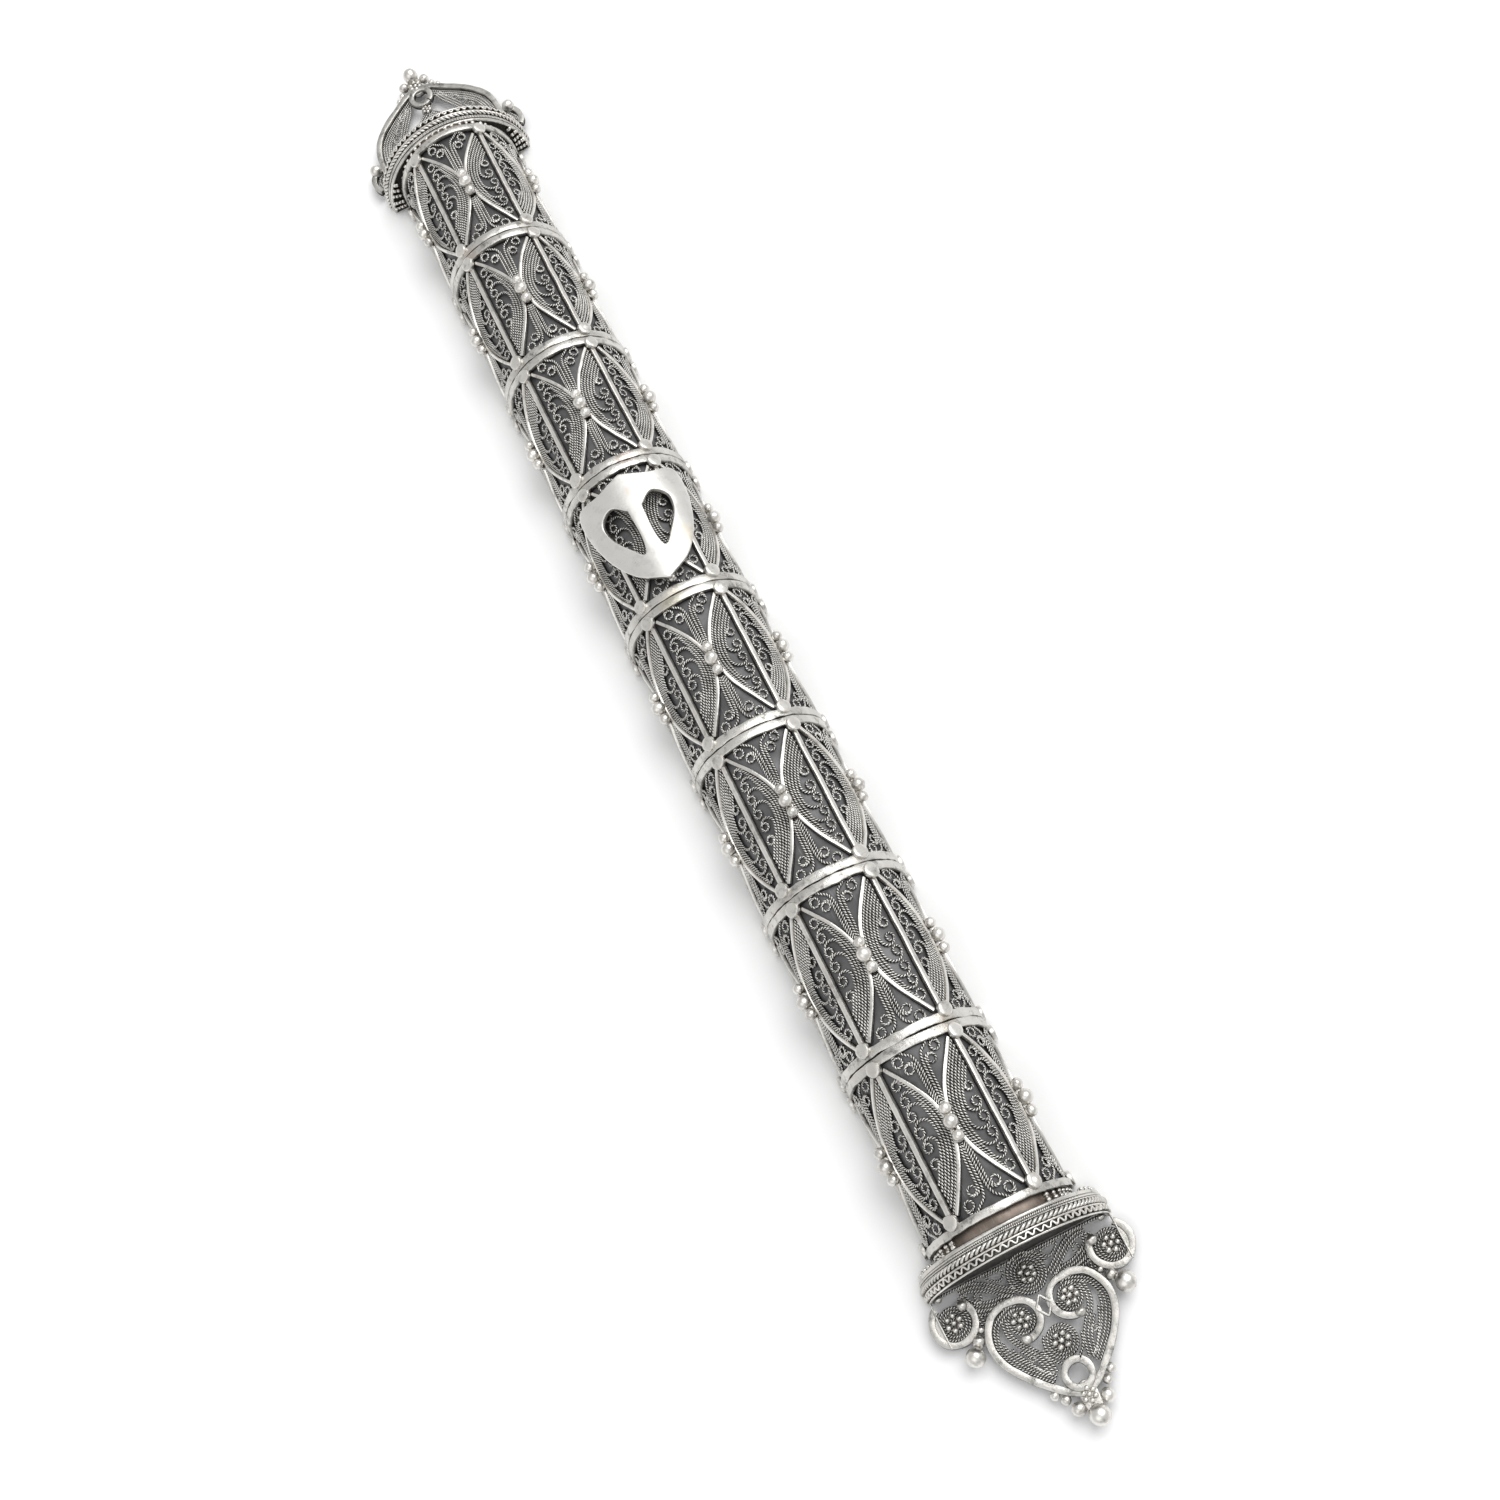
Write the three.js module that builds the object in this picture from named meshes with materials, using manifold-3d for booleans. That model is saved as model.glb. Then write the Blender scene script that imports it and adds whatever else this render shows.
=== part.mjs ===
// Mezuzah case: a long half-round case of silver filigree over a dark liner, lying on its flat back.
// Millimetres. +X runs across, +Y along the case towards the upper finial, +Z out of the front.
// The origin is the middle of the flat back, halfway between the two tips.
import * as THREE from 'three';
import { mergeVertices } from 'three/addons/utils/BufferGeometryUtils.js';
import Module from 'manifold-3d';

const wasm = await Module();
wasm.setup();

// ---------------------------------------------------------------- driving dimensions
const PITCH = 22; // one lattice section, ring to ring
const SECTIONS = 8;
const HALF_LENGTH = PITCH * SECTIONS / 2;
const AXIS_Z = 3.05; // centre of the half-round above the back
const R_REF = 9.2; // outer face of the lattice wires
const HALF_PETAL = R_REF * THREE.MathUtils.degToRad(34); // half a petal's width round the case
const QUARTER = R_REF * Math.PI / 2; // where the half-round turns into its straight legs

const LINER = { low: 7.9, high: 8.5, foot: 1.45 };
const INFILL = { low: 8.55, high: 8.75, foot: 1.45 };
const WIRE = { low: 8.9, high: R_REF };
const RING = { low: 8.55, high: 9.0, width: 2.4, foot: 1.45 };
const DOT = { low: 9.12, high: 9.85, radius: 1.02, inset: 1.37 };
const BAR_WIDTH = 0.66;
const ARC_WIDTH = 0.48;
const BEADS = { small: 0.73, large: 0.92, spacing: 1.76, radius: 9.88 };

const RIM = { from: 89.3, to: 92.1, inner: 11.0, outer: 11.6, flange: 0.5, hole: 9.0 };
const ROPE = { at: 90.7, radius: 0.28 };
const ZIGZAG = { from: 91.4, to: 92.0, high: 12.0 };
const GALLERY = { from: 88.15, to: 89.2, low: 8.0, high: 8.5 };
const POSTS = { count: 17, width: 0.32, low: 8.2, high: 9.1, inset: 0.1, lastU: 14.15 };
const END_BAND = { from: 87.1, to: 88.0, low: 8.55, high: 9.0, foot: 1.45 };
const WALL = { from: 91.0, to: 91.6, radius: 10.85 };

const PANEL = { halfWidth: 8.45, low: 0.42, high: 0.92, endGap: 1.4 };
const THUMB_GROOVES = { at: [2.5, 4.0, 5.5], length: 7, width: 0.6, depth: 0.15 };
const RAIL = { inner: 6.0, topInner: 7.1, outer: 8.9, wall: 8.57, top: 1.35, slotLow: 0.35, slotHigh: 1.0 };

const SHEET = { low: 1.1, high: 1.45 }; // finial filigree
const FRAME = { low: 1.5, high: 2.0, width: 0.88 }; // flat wire laid on it
const LINK_WIDTH = 0.7; // short wires that carry the beads
const STEM = { length: 2.5, fork: 1.2, width: 1.8 }; // carries the beads at the tip
const BEAD_BASE = 1.05; // nothing on the lower finial hangs below this, so the panel slides past
const NAIL = { hole: 1.15, ring: 1.95, low: 2.05, high: 2.5 }; // radii, and the ring's two faces
const PLAQUE = { section: 4, low: 10.0, high: 10.8, halfWidth: 7.9 };
const GAP = 0.1;

// ---------------------------------------------------------------- materials
const silver = new THREE.MeshStandardMaterial({ color: 0xd9d6d0, metalness: 1, roughness: 0.35 });
const wornSilver = new THREE.MeshStandardMaterial({ color: 0xc9c6c0, metalness: 1, roughness: 0.45 });
const darkSilver = new THREE.MeshStandardMaterial({ color: 0x5c5b5c, metalness: 0.9, roughness: 0.55 });
const filigree = new THREE.MeshStandardMaterial({ color: 0x9a9894, metalness: 1, roughness: 0.45 });

// ---------------------------------------------------------------- solids
function volumeOf(positions, index) {
  const [a, b, c] = [new THREE.Vector3(), new THREE.Vector3(), new THREE.Vector3()];
  let sum = 0;
  for (let i = 0; i < index.length; i += 3) {
    a.fromArray(positions, 3 * index[i]);
    b.fromArray(positions, 3 * index[i + 1]);
    c.fromArray(positions, 3 * index[i + 2]);
    sum += a.dot(b.cross(c));
  }
  return sum / 6;
}

// A closed skin over a row of equal outlines, capped at both ends.
function loft(outlines) {
  const count = outlines[0].length;
  const positions = outlines.flat().flatMap((p) => [p.x, p.y, p.z]);
  const index = [];
  for (let i = 0; i + 1 < outlines.length; i += 1) {
    for (let j = 0; j < count; j += 1) {
      const [a, b] = [i * count + j, i * count + (j + 1) % count];
      index.push(a, b, b + count, a, b + count, a + count);
    }
  }
  const last = (outlines.length - 1) * count;
  for (let j = 1; j + 1 < count; j += 1) {
    index.push(0, j + 1, j, last, last + j, last + j + 1);
  }
  if (volumeOf(positions, index) < 0) index.reverse();
  const geometry = new THREE.BufferGeometry();
  geometry.setAttribute('position', new THREE.Float32BufferAttribute(positions, 3));
  geometry.setIndex(index);
  return geometry;
}

function toSolid(geometry) {
  const bare = geometry.clone();
  bare.deleteAttribute('normal');
  bare.deleteAttribute('uv');
  const merged = mergeVertices(bare, 1e-5);
  return new wasm.Manifold(new wasm.Mesh({
    numProp: 3,
    vertProperties: new Float32Array(merged.attributes.position.array),
    triVerts: new Uint32Array(merged.index.array),
  }));
}

function toGeometry(solid) {
  const mesh = solid.getMesh();
  const geometry = new THREE.BufferGeometry();
  geometry.setAttribute('position', new THREE.BufferAttribute(mesh.vertProperties, 3));
  geometry.setIndex(new THREE.BufferAttribute(mesh.triVerts, 1));
  return geometry;
}

function join(geometries) {
  return toGeometry(geometries.map(toSolid).reduce((sum, next) => sum.add(next)));
}

function cut(geometry, tools) {
  return toGeometry(tools.map(toSolid).reduce((rest, tool) => rest.subtract(tool), toSolid(geometry)));
}

// ---------------------------------------------------------------- placing flat patterns
// The case's section: a half-round on two straight legs. u is the distance round it from the crest,
// measured on the lattice's outer face; h is the distance out from the half-round's centre line.
function onCase(u, y, h) {
  const angle = Math.min(Math.abs(u), QUARTER) / R_REF;
  const leg = Math.max(Math.abs(u) - QUARTER, 0);
  const side = u < 0 ? -1 : 1;
  return new THREE.Vector3(side * h * Math.sin(angle), y, AXIS_Z + h * Math.cos(angle) - leg);
}

// The rims are plain half-rounds about the back's middle line; here u is an angle.
function onRim(angle, y, h) {
  return new THREE.Vector3(h * Math.sin(angle), y, h * Math.cos(angle));
}

function onPlate(x, y, h) {
  return new THREE.Vector3(x, y, h);
}

// A flat wire laid along a path, from height low to height high.
function wire(path, width, { low, high }, place = onCase) {
  const outlines = path.map((point, i) => {
    const before = path[Math.max(i - 1, 0)];
    const after = path[Math.min(i + 1, path.length - 1)];
    const along = new THREE.Vector2(after[0] - before[0], after[1] - before[1]).normalize();
    const [du, dy] = [-along.y * width / 2, along.x * width / 2];
    return [
      place(point[0] + du, point[1] + dy, high),
      place(point[0] - du, point[1] - dy, high),
      place(point[0] - du, point[1] - dy, low),
      place(point[0] + du, point[1] + dy, low),
    ];
  });
  return loft(outlines);
}

// A strip that runs round the case from foot to foot.
function hoop(from, to, { low, high, foot }) {
  const edge = QUARTER + AXIS_Z - foot;
  const steps = 12;
  const turns = Array.from({ length: steps + 1 }, (_, i) => QUARTER * (2 * i / steps - 1));
  const outlines = [-edge, ...turns, edge].map((u) => [
    onCase(u, from, high), onCase(u, to, high), onCase(u, to, low), onCase(u, from, low),
  ]);
  return loft(outlines);
}

function halfRing(section) {
  const steps = 18;
  return loft(Array.from({ length: steps + 1 }, (_, i) => {
    const angle = Math.PI * (i / steps - 0.5);
    return section.map(([y, h]) => onRim(angle, y, h));
  }));
}

function disc(u, y, radius, { low, high }, place = onCase, sides = 6) {
  const outline = (h) => Array.from({ length: sides }, (_, i) => {
    const angle = 2 * Math.PI * (i + 0.5) / sides;
    return place(u + radius * Math.cos(angle), y + radius * Math.sin(angle), h);
  });
  return loft([outline(low), outline(high)]);
}

function arc(cx, cy, radius, fromDeg, toDeg, steps) {
  return Array.from({ length: steps + 1 }, (_, i) => {
    const angle = THREE.MathUtils.degToRad(fromDeg + (toDeg - fromDeg) * i / steps);
    return [cx + radius * Math.cos(angle), cy + radius * Math.sin(angle)];
  });
}

function smooth(points, steps) {
  const curve = new THREE.SplineCurve(points.map(([x, y]) => new THREE.Vector2(x, y)));
  return curve.getPoints(steps).map((p) => [p.x, p.y]);
}

function plate(outline, { low, high }) {
  const shape = new THREE.Shape(outline.map(([x, y]) => new THREE.Vector2(x, y)));
  const geometry = new THREE.ExtrudeGeometry(shape, { depth: high - low, bevelEnabled: false });
  return geometry.translate(0, 0, low);
}

function ball(x, y, radius, base = BEAD_BASE) {
  return new THREE.SphereGeometry(radius, 7, 5).translate(x, y, base + radius);
}

const mirrored = (path) => path.map(([x, y]) => [-x, y]);
const flipped = (path, end) => path.map(([x, y]) => [x, end * y]);

// ---------------------------------------------------------------- the assembly
const model = new THREE.Group();

function add(name, geometry, material) {
  const mesh = new THREE.Mesh(geometry, material);
  mesh.name = name;
  model.add(mesh);
}

// ---- case sides: the liner and the two rails that hold the back panel
add('liner', hoop(-HALF_LENGTH, HALF_LENGTH, LINER), darkSilver);

function rail(side) {
  const section = [
    [RAIL.inner, 0], [RAIL.outer, 0], [RAIL.outer, RAIL.top], [RAIL.topInner, RAIL.top],
    [RAIL.topInner, RAIL.slotHigh], [RAIL.wall, RAIL.slotHigh], [RAIL.wall, RAIL.slotLow],
    [RAIL.inner, RAIL.slotLow],
  ];
  const shape = new THREE.Shape(section.map(([x, z]) => new THREE.Vector2(side * x, z)));
  const length = 2 * HALF_LENGTH;
  const geometry = new THREE.ExtrudeGeometry(shape, { depth: length, bevelEnabled: false });
  return geometry.rotateX(Math.PI / 2).translate(0, HALF_LENGTH, 0);
}
add('rail_left', rail(-1), darkSilver);
add('rail_right', rail(1), darkSilver);

// ---- back panel, which slides out past the lower finial
function backPanel() {
  const from = -WALL.to;
  const to = WALL.from - PANEL.endGap;
  const { halfWidth, low, high } = PANEL;
  const sheet = new THREE.BoxGeometry(2 * halfWidth, to - from, high - low)
    .translate(0, (from + to) / 2, (low + high) / 2);
  const { at, length, width, depth } = THUMB_GROOVES;
  const grooves = at.map((offset) => new THREE.BoxGeometry(length, width, 2 * depth)
    .translate(0, from + offset, low));
  return cut(sheet, grooves);
}
add('back_panel', backPanel(), wornSilver);

// ---- rings, and one lattice and one filigree layer for each section
for (let i = 1; i < SECTIONS; i += 1) {
  const y = HALF_LENGTH - i * PITCH;
  add(`ring_${i}`, hoop(y - RING.width / 2, y + RING.width / 2, RING), wornSilver);
}

function petalSide(centre, side, mid) {
  const reach = PITCH / 2 - DOT.inset - 0.4; // both ends tuck under the dots
  const start = 0.8;
  const bulge = HALF_PETAL - 0.4 * ARC_WIDTH - start; // neighbours just run into each other
  const steps = 6;
  return Array.from({ length: steps + 1 }, (_, i) => {
    const y = reach * (2 * i / steps - 1);
    return [centre + side * (start + bulge * Math.cos(Math.PI * y / (2 * reach))), mid + y];
  });
}

// Three beads in a row along the case, as one turned piece.
function beadRow(u, mid) {
  const radii = [BEADS.small, BEADS.large, BEADS.small];
  const profile = radii.flatMap((radius, i) => [45, 90, 135].map((deg) => {
    const angle = THREE.MathUtils.degToRad(deg);
    return new THREE.Vector2(radius * Math.sin(angle), (i - 1) * BEADS.spacing - radius * Math.cos(angle));
  }));
  const tip = BEADS.spacing + BEADS.small;
  const tips = [-tip, tip].map((y) => new THREE.Vector2(0, y));
  const row = new THREE.LatheGeometry([tips[0], ...profile, tips[1]], 5);
  const at = onCase(u, mid, BEADS.radius);
  return row.translate(at.x, at.y, at.z);
}

function lattice(mid, beadsAt) {
  const pieces = [];
  const barEnd = PITCH / 2 - RING.width / 2 - GAP;
  for (const bar of [-3, -1, 1, 3]) {
    const centre = bar * HALF_PETAL;
    pieces.push(wire([[centre, mid - barEnd], [centre, mid + barEnd]], BAR_WIDTH, WIRE));
    const sides = Math.abs(bar) === 1 ? [-1, 1] : [-Math.sign(bar)];
    for (const side of sides) pieces.push(wire(petalSide(centre, side, mid), ARC_WIDTH, WIRE));
    for (const end of [-1, 1]) {
      const y = mid + end * (PITCH / 2 - DOT.inset);
      pieces.push(disc(centre, y, DOT.radius, DOT));
    }
  }
  for (const boundary of beadsAt) pieces.push(beadRow(boundary * HALF_PETAL, mid));
  return join(pieces);
}

for (let i = 1; i <= SECTIONS; i += 1) {
  const mid = HALF_LENGTH - (i - 0.5) * PITCH;
  // Under the plaque the crest has no beads.
  add(`lattice_${i}`, lattice(mid, i === PLAQUE.section ? [-2, 2] : [-2, 0, 2]), silver);
  const half = PITCH / 2 - RING.width / 2;
  add(`infill_${i}`, hoop(mid - half, mid + half, INFILL), filigree);
}

// ---- shield plaque on the crest of its section, with two pierced teardrops
function plaque() {
  const mid = HALF_LENGTH - (PLAQUE.section - 0.5) * PITCH;
  const { low, high } = PLAQUE;
  const outline = smooth([
    [0, 8.4], [3.2, 7.2], [6.6, 7.0], [7.0, 3.2], [5.6, -2.4], [3.2, -6.8], [0, -9.2],
  ], 14);
  const whole = [...outline, ...mirrored(outline).reverse().slice(1, -1)];
  const blank = plate(whole.map(([x, y]) => [x, y + mid]), { low: 0, high: 20 });
  const teardrop = (side) => plate(smooth([
    [0.9, 2.6], [2.6, 4.2], [4.3, 3.0], [4.1, 0.4], [2.6, -2.6], [1.3, -4.4], [0.8, -2.0], [0.9, 2.6],
  ], 14).map(([x, y]) => [side * x, y + mid]), { low: 0, high: 20 });
  const steps = 16;
  const curved = loft(Array.from({ length: steps + 1 }, (_, i) => {
    const u = PLAQUE.halfWidth * (2 * i / steps - 1);
    return [[mid - 10, high], [mid + 10, high], [mid + 10, low], [mid - 10, low]]
      .map(([y, h]) => onCase(u, y, h));
  }));
  const pierced = cut(blank, [teardrop(1), teardrop(-1)]);
  return toGeometry(toSolid(curved).intersect(toSolid(pierced)));
}
add('shield_plaque', plaque(), wornSilver);

// ---- ends: the same collar at each end of the case
for (const [name, end] of [['lower', -1], ['upper', 1]]) {
  const span = (a, b) => (end < 0 ? [-b, -a] : [a, b]);

  add(`${name}_end_band`, hoop(...span(END_BAND.from, END_BAND.to), END_BAND), silver);

  const floor = hoop(...span(GALLERY.from, GALLERY.to), { ...GALLERY, foot: LINER.foot });
  const posts = Array.from({ length: POSTS.count }, (_, i) => {
    const u = POSTS.lastU * (2 * i / (POSTS.count - 1) - 1);
    const ends = [GALLERY.from + POSTS.inset, GALLERY.to - POSTS.inset].map((y) => [u, end * y]);
    return wire(ends, POSTS.width, POSTS);
  });
  add(`${name}_gallery`, join([floor, ...posts]), wornSilver);

  const band = halfRing([
    [end * RIM.from, RIM.outer], [end * RIM.to, RIM.outer],
    [end * RIM.to, RIM.inner], [end * RIM.from, RIM.inner],
  ]);
  const flangeEnd = RIM.from + RIM.flange;
  const flange = halfRing([
    [end * RIM.from, RIM.outer - 0.1], [end * flangeEnd, RIM.outer - 0.1],
    [end * flangeEnd, 0.5], [end * RIM.from, 0.5],
  ]);
  // The flange is open over the whole width of the case inside it.
  const crown = hoop(...span(RIM.from - 1, flangeEnd + 1), { low: 0, high: RIM.hole, foot: -1 });
  const heart = new THREE.BoxGeometry(2 * RIM.hole, 4, 8).translate(0, end * RIM.from, 0);
  add(`${name}_rim`, join([band, cut(flange, [crown, heart])]), silver);

  const coil = Array.from({ length: 4 }, (_, i) => {
    const angle = Math.PI * i / 2;
    const centre = RIM.outer + 0.05 + ROPE.radius;
    return [end * ROPE.at + ROPE.radius * Math.cos(angle), centre + ROPE.radius * Math.sin(angle)];
  });
  add(`${name}_rim_rope`, halfRing(coil), silver);

  add(`${name}_rim_zigzag`, halfRing([
    [end * ZIGZAG.from, ZIGZAG.high], [end * ZIGZAG.to, ZIGZAG.high],
    [end * ZIGZAG.to, RIM.outer + 0.05], [end * ZIGZAG.from, RIM.outer + 0.05],
  ]), silver);

  // The upper wall reaches down to the back and stops the panel; the lower one lets it pass.
  const wallFoot = end < 0 ? PANEL.high + 0.2 : 0;
  const wall = halfRing([
    [end * WALL.from, WALL.radius], [end * WALL.to, WALL.radius],
    [end * WALL.to, 0.2], [end * WALL.from, 0.2],
  ]);
  const centre = new THREE.BoxGeometry(2, WALL.to - WALL.from, 4)
    .translate(0, end * (WALL.from + WALL.to) / 2, 2);
  const below = new THREE.BoxGeometry(30, 4, 4).translate(0, end * WALL.from, wallFoot - 2);
  add(`${name}_end_wall`, cut(join([wall, centre]), [below]), darkSilver);
}

// ---- finials: all outlines are drawn in the plate's plane, x across and y outwards from the middle
function nailRing(centre, end) {
  const { hole, ring, low, high } = NAIL;
  const path = arc(0, centre, (hole + ring) / 2, -60, 262, 18);
  return wire(flipped(path, end), ring - hole, { low, high }, onPlate);
}

function tipBeads(tip, beads, end) {
  const stem = [[0, tip.y - STEM.length], [0, tip.y]];
  const pieces = [
    wire(flipped(stem, end), STEM.width, SHEET, onPlate),
    ball(0, end * tip.y, tip.radius),
  ];
  for (const side of [-1, 1]) {
    for (const [x, y, radius] of beads) {
      pieces.push(ball(side * x, end * y, radius));
      const link = flipped([[0, tip.y - STEM.fork], [side * x, y]], end);
      pieces.push(wire(link, LINK_WIDTH, SHEET, onPlate));
    }
  }
  return join(pieces);
}

function lobe(side, end, { x, y, radius, from, to }, beads, link) {
  const onSide = (path) => path.map(([px, py]) => [side * px, end * py]);
  return join([
    wire(onSide(arc(x, y, radius, from, to, 16)), FRAME.width, FRAME, onPlate),
    wire(onSide(link), LINK_WIDTH, FRAME, onPlate),
    ...beads.map(([bx, by, r, base]) => ball(side * bx, end * by, r, base)),
  ]);
}

function sheetWithHole(outlines, hole) {
  const sheet = join(outlines.map((outline) => plate(outline, SHEET)));
  return cut(sheet, [disc(0, hole, NAIL.hole, { low: 0, high: 4 }, onPlate, 16)]);
}

// Lower finial: a heart of flat wire between two round lobes.
const LOWER_NAIL = 106.1;
const scroll = { x: 3.1, y: 98.25, radius: 2.25 };
const heartHalf = [
  ...arc(scroll.x, scroll.y, scroll.radius, 80, 258, 12),
  ...smooth([[4.3, 95.85], [6.0, 96.6], [7.1, 98.2], [7.5, 99.9], [7.0, 101.8], [5.6, 103.9],
    [3.7, 105.9], [2.1, 107.3], [-0.2, 108.3]], 14),
];
const heartFrame = join([
  wire(flipped(heartHalf, -1), FRAME.width, FRAME, onPlate),
  wire(flipped(mirrored(heartHalf), -1), FRAME.width, FRAME, onPlate),
  plate([[-0.9, -98.0], [0, -99.2], [0.9, -98.0], [0, -96.8]], FRAME),
  ball(3.4, -100.4, 0.62, FRAME.low),
  ball(-3.4, -100.4, 0.62, FRAME.low),
]);
add('lower_heart_frame', heartFrame, silver);

const lowerLobe = { x: 10.03, y: 95.26, radius: 2.5, from: 213, to: -58 };
const lowerLobeBeads = [[8.3, 94.0, 0.62, FRAME.low], [8.45, 98.3, 0.72], [9.5, 99.7, 1.17]];
const lowerLink = [[8.9, 97.4], [8.45, 98.3], [9.5, 99.7]];
add('lower_lobe_left', lobe(-1, -1, lowerLobe, lowerLobeBeads, lowerLink), silver);
add('lower_lobe_right', lobe(1, -1, lowerLobe, lowerLobeBeads, lowerLink), silver);

const heartFill = smooth(
  [[0, 96.2], [3.0, 95.9], [6.0, 96.8], [7.4, 99.9], [5.5, 103.9], [0, 108.2]], 12);
const lowerRoot = [[11.2, 92.3], [11.2, 94.5], [10.0, 97.6], [7.6, 96.4], [5.0, 96.6], [0, 97.4]];
const lowerSheet = sheetWithHole([
  [...heartFill, ...mirrored(heartFill).reverse().slice(1, -1)],
  [...lowerRoot, ...mirrored(lowerRoot).reverse().slice(1)],
  [[-10.6, 91.75], [10.6, 91.75], [10.6, 92.6], [-10.6, 92.6]],
].map((outline) => flipped(outline, -1)), -LOWER_NAIL);
add('lower_finial_sheet', lowerSheet, filigree);

add('lower_nail_ring', nailRing(LOWER_NAIL, -1), silver);
add('lower_tip_beads', tipBeads({ y: 111.2, radius: 1.1 },
  [[3.3, 109.0, 0.5], [1.95, 110.0, 0.64]], -1), silver);

// Upper finial: a wide ogee arch between two half-hidden lobes.
const UPPER_NAIL = 106.3;
const archHalf = smooth([[10.0, 92.4], [10.05, 96.0], [9.95, 98.8], [9.3, 101.2], [8.0, 103.1],
  [6.2, 104.8], [4.2, 106.3], [2.3, 107.6], [-0.2, 108.5]], 16);
const arch = join([
  wire(archHalf, FRAME.width, FRAME, onPlate),
  wire(mirrored(archHalf), FRAME.width, FRAME, onPlate),
]);
add('upper_ogee_frame', arch, silver);

const upperLobe = { x: 9.9, y: 94.4, radius: 2.6, from: -42, to: 64 };
const upperLobeBeads = [[11.6, 97.0, 0.9]];
const upperLink = [[11.2, 96.4], [11.6, 97.0]];
add('upper_lobe_left', lobe(-1, 1, upperLobe, upperLobeBeads, upperLink), silver);
add('upper_lobe_right', lobe(1, 1, upperLobe, upperLobeBeads, upperLink), silver);

const archFill = smooth([[9.9, 92.3], [9.9, 98.8], [8.0, 103.0], [4.2, 106.2], [0, 108.4]], 10);
const upperSheet = sheetWithHole([
  [...archFill, ...mirrored(archFill).reverse().slice(1)],
  [[-9.8, 91.75], [9.8, 91.75], [9.8, 92.6], [-9.8, 92.6]],
], UPPER_NAIL);
add('upper_finial_sheet', upperSheet, filigree);

add('upper_nail_ring', nailRing(UPPER_NAIL, 1), silver);
add('upper_tip_beads', tipBeads({ y: 111.1, radius: 1.2 },
  [[3.4, 108.6, 0.45], [2.3, 110.0, 0.68]], 1), silver);

export default model;
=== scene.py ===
"""Looks for the silver filigree mezuzah case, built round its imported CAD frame.

Lengths are written in millimetres and turned into metres when a mesh is made. The stage is in metres.
"""

from math import asin, cos, hypot, pi, radians, sin

import bmesh
import bpy
import numpy as np
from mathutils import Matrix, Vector


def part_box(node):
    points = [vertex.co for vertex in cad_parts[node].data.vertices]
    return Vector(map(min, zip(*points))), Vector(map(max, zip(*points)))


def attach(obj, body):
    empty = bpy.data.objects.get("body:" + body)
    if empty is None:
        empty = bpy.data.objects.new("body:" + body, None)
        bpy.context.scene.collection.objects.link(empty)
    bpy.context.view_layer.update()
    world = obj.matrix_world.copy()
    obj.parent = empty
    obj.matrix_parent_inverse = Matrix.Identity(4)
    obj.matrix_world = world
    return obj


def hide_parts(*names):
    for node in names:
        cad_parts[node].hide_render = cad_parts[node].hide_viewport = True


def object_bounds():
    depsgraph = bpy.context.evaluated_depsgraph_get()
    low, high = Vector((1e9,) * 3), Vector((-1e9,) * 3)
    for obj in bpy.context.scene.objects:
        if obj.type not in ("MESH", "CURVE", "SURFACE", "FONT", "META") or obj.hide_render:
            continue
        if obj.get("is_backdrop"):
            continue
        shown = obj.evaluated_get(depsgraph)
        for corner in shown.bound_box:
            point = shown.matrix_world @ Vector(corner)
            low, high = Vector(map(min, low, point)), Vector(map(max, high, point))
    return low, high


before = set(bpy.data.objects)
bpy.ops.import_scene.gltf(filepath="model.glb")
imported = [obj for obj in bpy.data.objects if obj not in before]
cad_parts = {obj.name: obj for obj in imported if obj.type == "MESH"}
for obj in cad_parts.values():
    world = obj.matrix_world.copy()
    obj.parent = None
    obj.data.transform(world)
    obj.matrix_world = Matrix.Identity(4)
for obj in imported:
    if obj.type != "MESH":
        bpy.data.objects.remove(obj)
scene = bpy.context.scene
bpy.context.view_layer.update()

MM = 0.001
TAU = 2 * pi


def span(node, axis):
    """Lowest and highest coordinate of a CAD node along one axis, in millimetres."""
    low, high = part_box(node)
    return low[axis] / MM, high[axis] / MM


# ---------- measures shared with the frame
SECTIONS = 8
PITCH = span("ring_1", 1)[0] - span("ring_2", 1)[0]
HALF_LENGTH = span("liner", 1)[1]
AXIS_Z = 3.05  # centre of the half-round above the back
R_REF = 9.2  # outer face of the lattice wires
HALF_PETAL = R_REF * radians(34)
QUARTER = R_REF * pi / 2  # where the half-round turns into its straight legs
FOOT = span("infill_1", 2)[0]
FOOT_U = QUARTER + AXIS_Z - FOOT
LINER_TOP = span("liner", 2)[1] - AXIS_Z
PETAL_REACH = 9.2  # half the length of a petal's arc
PETAL_FOOT, PETAL_BOW = 1.0, 4.22  # how far a petal's side stands off its bar at the dots, and bows out
DOT_INSET = 1.37  # from a section's end to the middle of its dots


# ---------- placing flat patterns
def on_case(u, y, h):
    """u is the distance round the case from its crest, h the distance out from its centre line."""
    angle = np.clip(u, -QUARTER, QUARTER) / R_REF
    leg = np.maximum(np.abs(u) - QUARTER, 0)
    return np.stack([h * np.sin(angle), y + 0 * angle, AXIS_Z + h * np.cos(angle) - leg], -1)


def spot(u, y, h):
    """A single point over the case."""
    return on_case(np.array([u]), np.array([y]), np.array([h]))[0]


def on_rim(angle, y, h):
    """The same for a collar, whose centre line lies in the back, by angle."""
    return np.stack([h * np.sin(angle), y + 0 * angle, h * np.cos(angle)], -1)


def on_plate(x, y, h):
    """Flat, for the finials: h is the height above the back."""
    return np.stack([x, y, h + 0 * x], -1)


# ---------- mesh building
def jitter(rng, reach):
    return rng.uniform(-reach, reach)


def link(made):
    scene.collection.objects.link(made)


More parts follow.
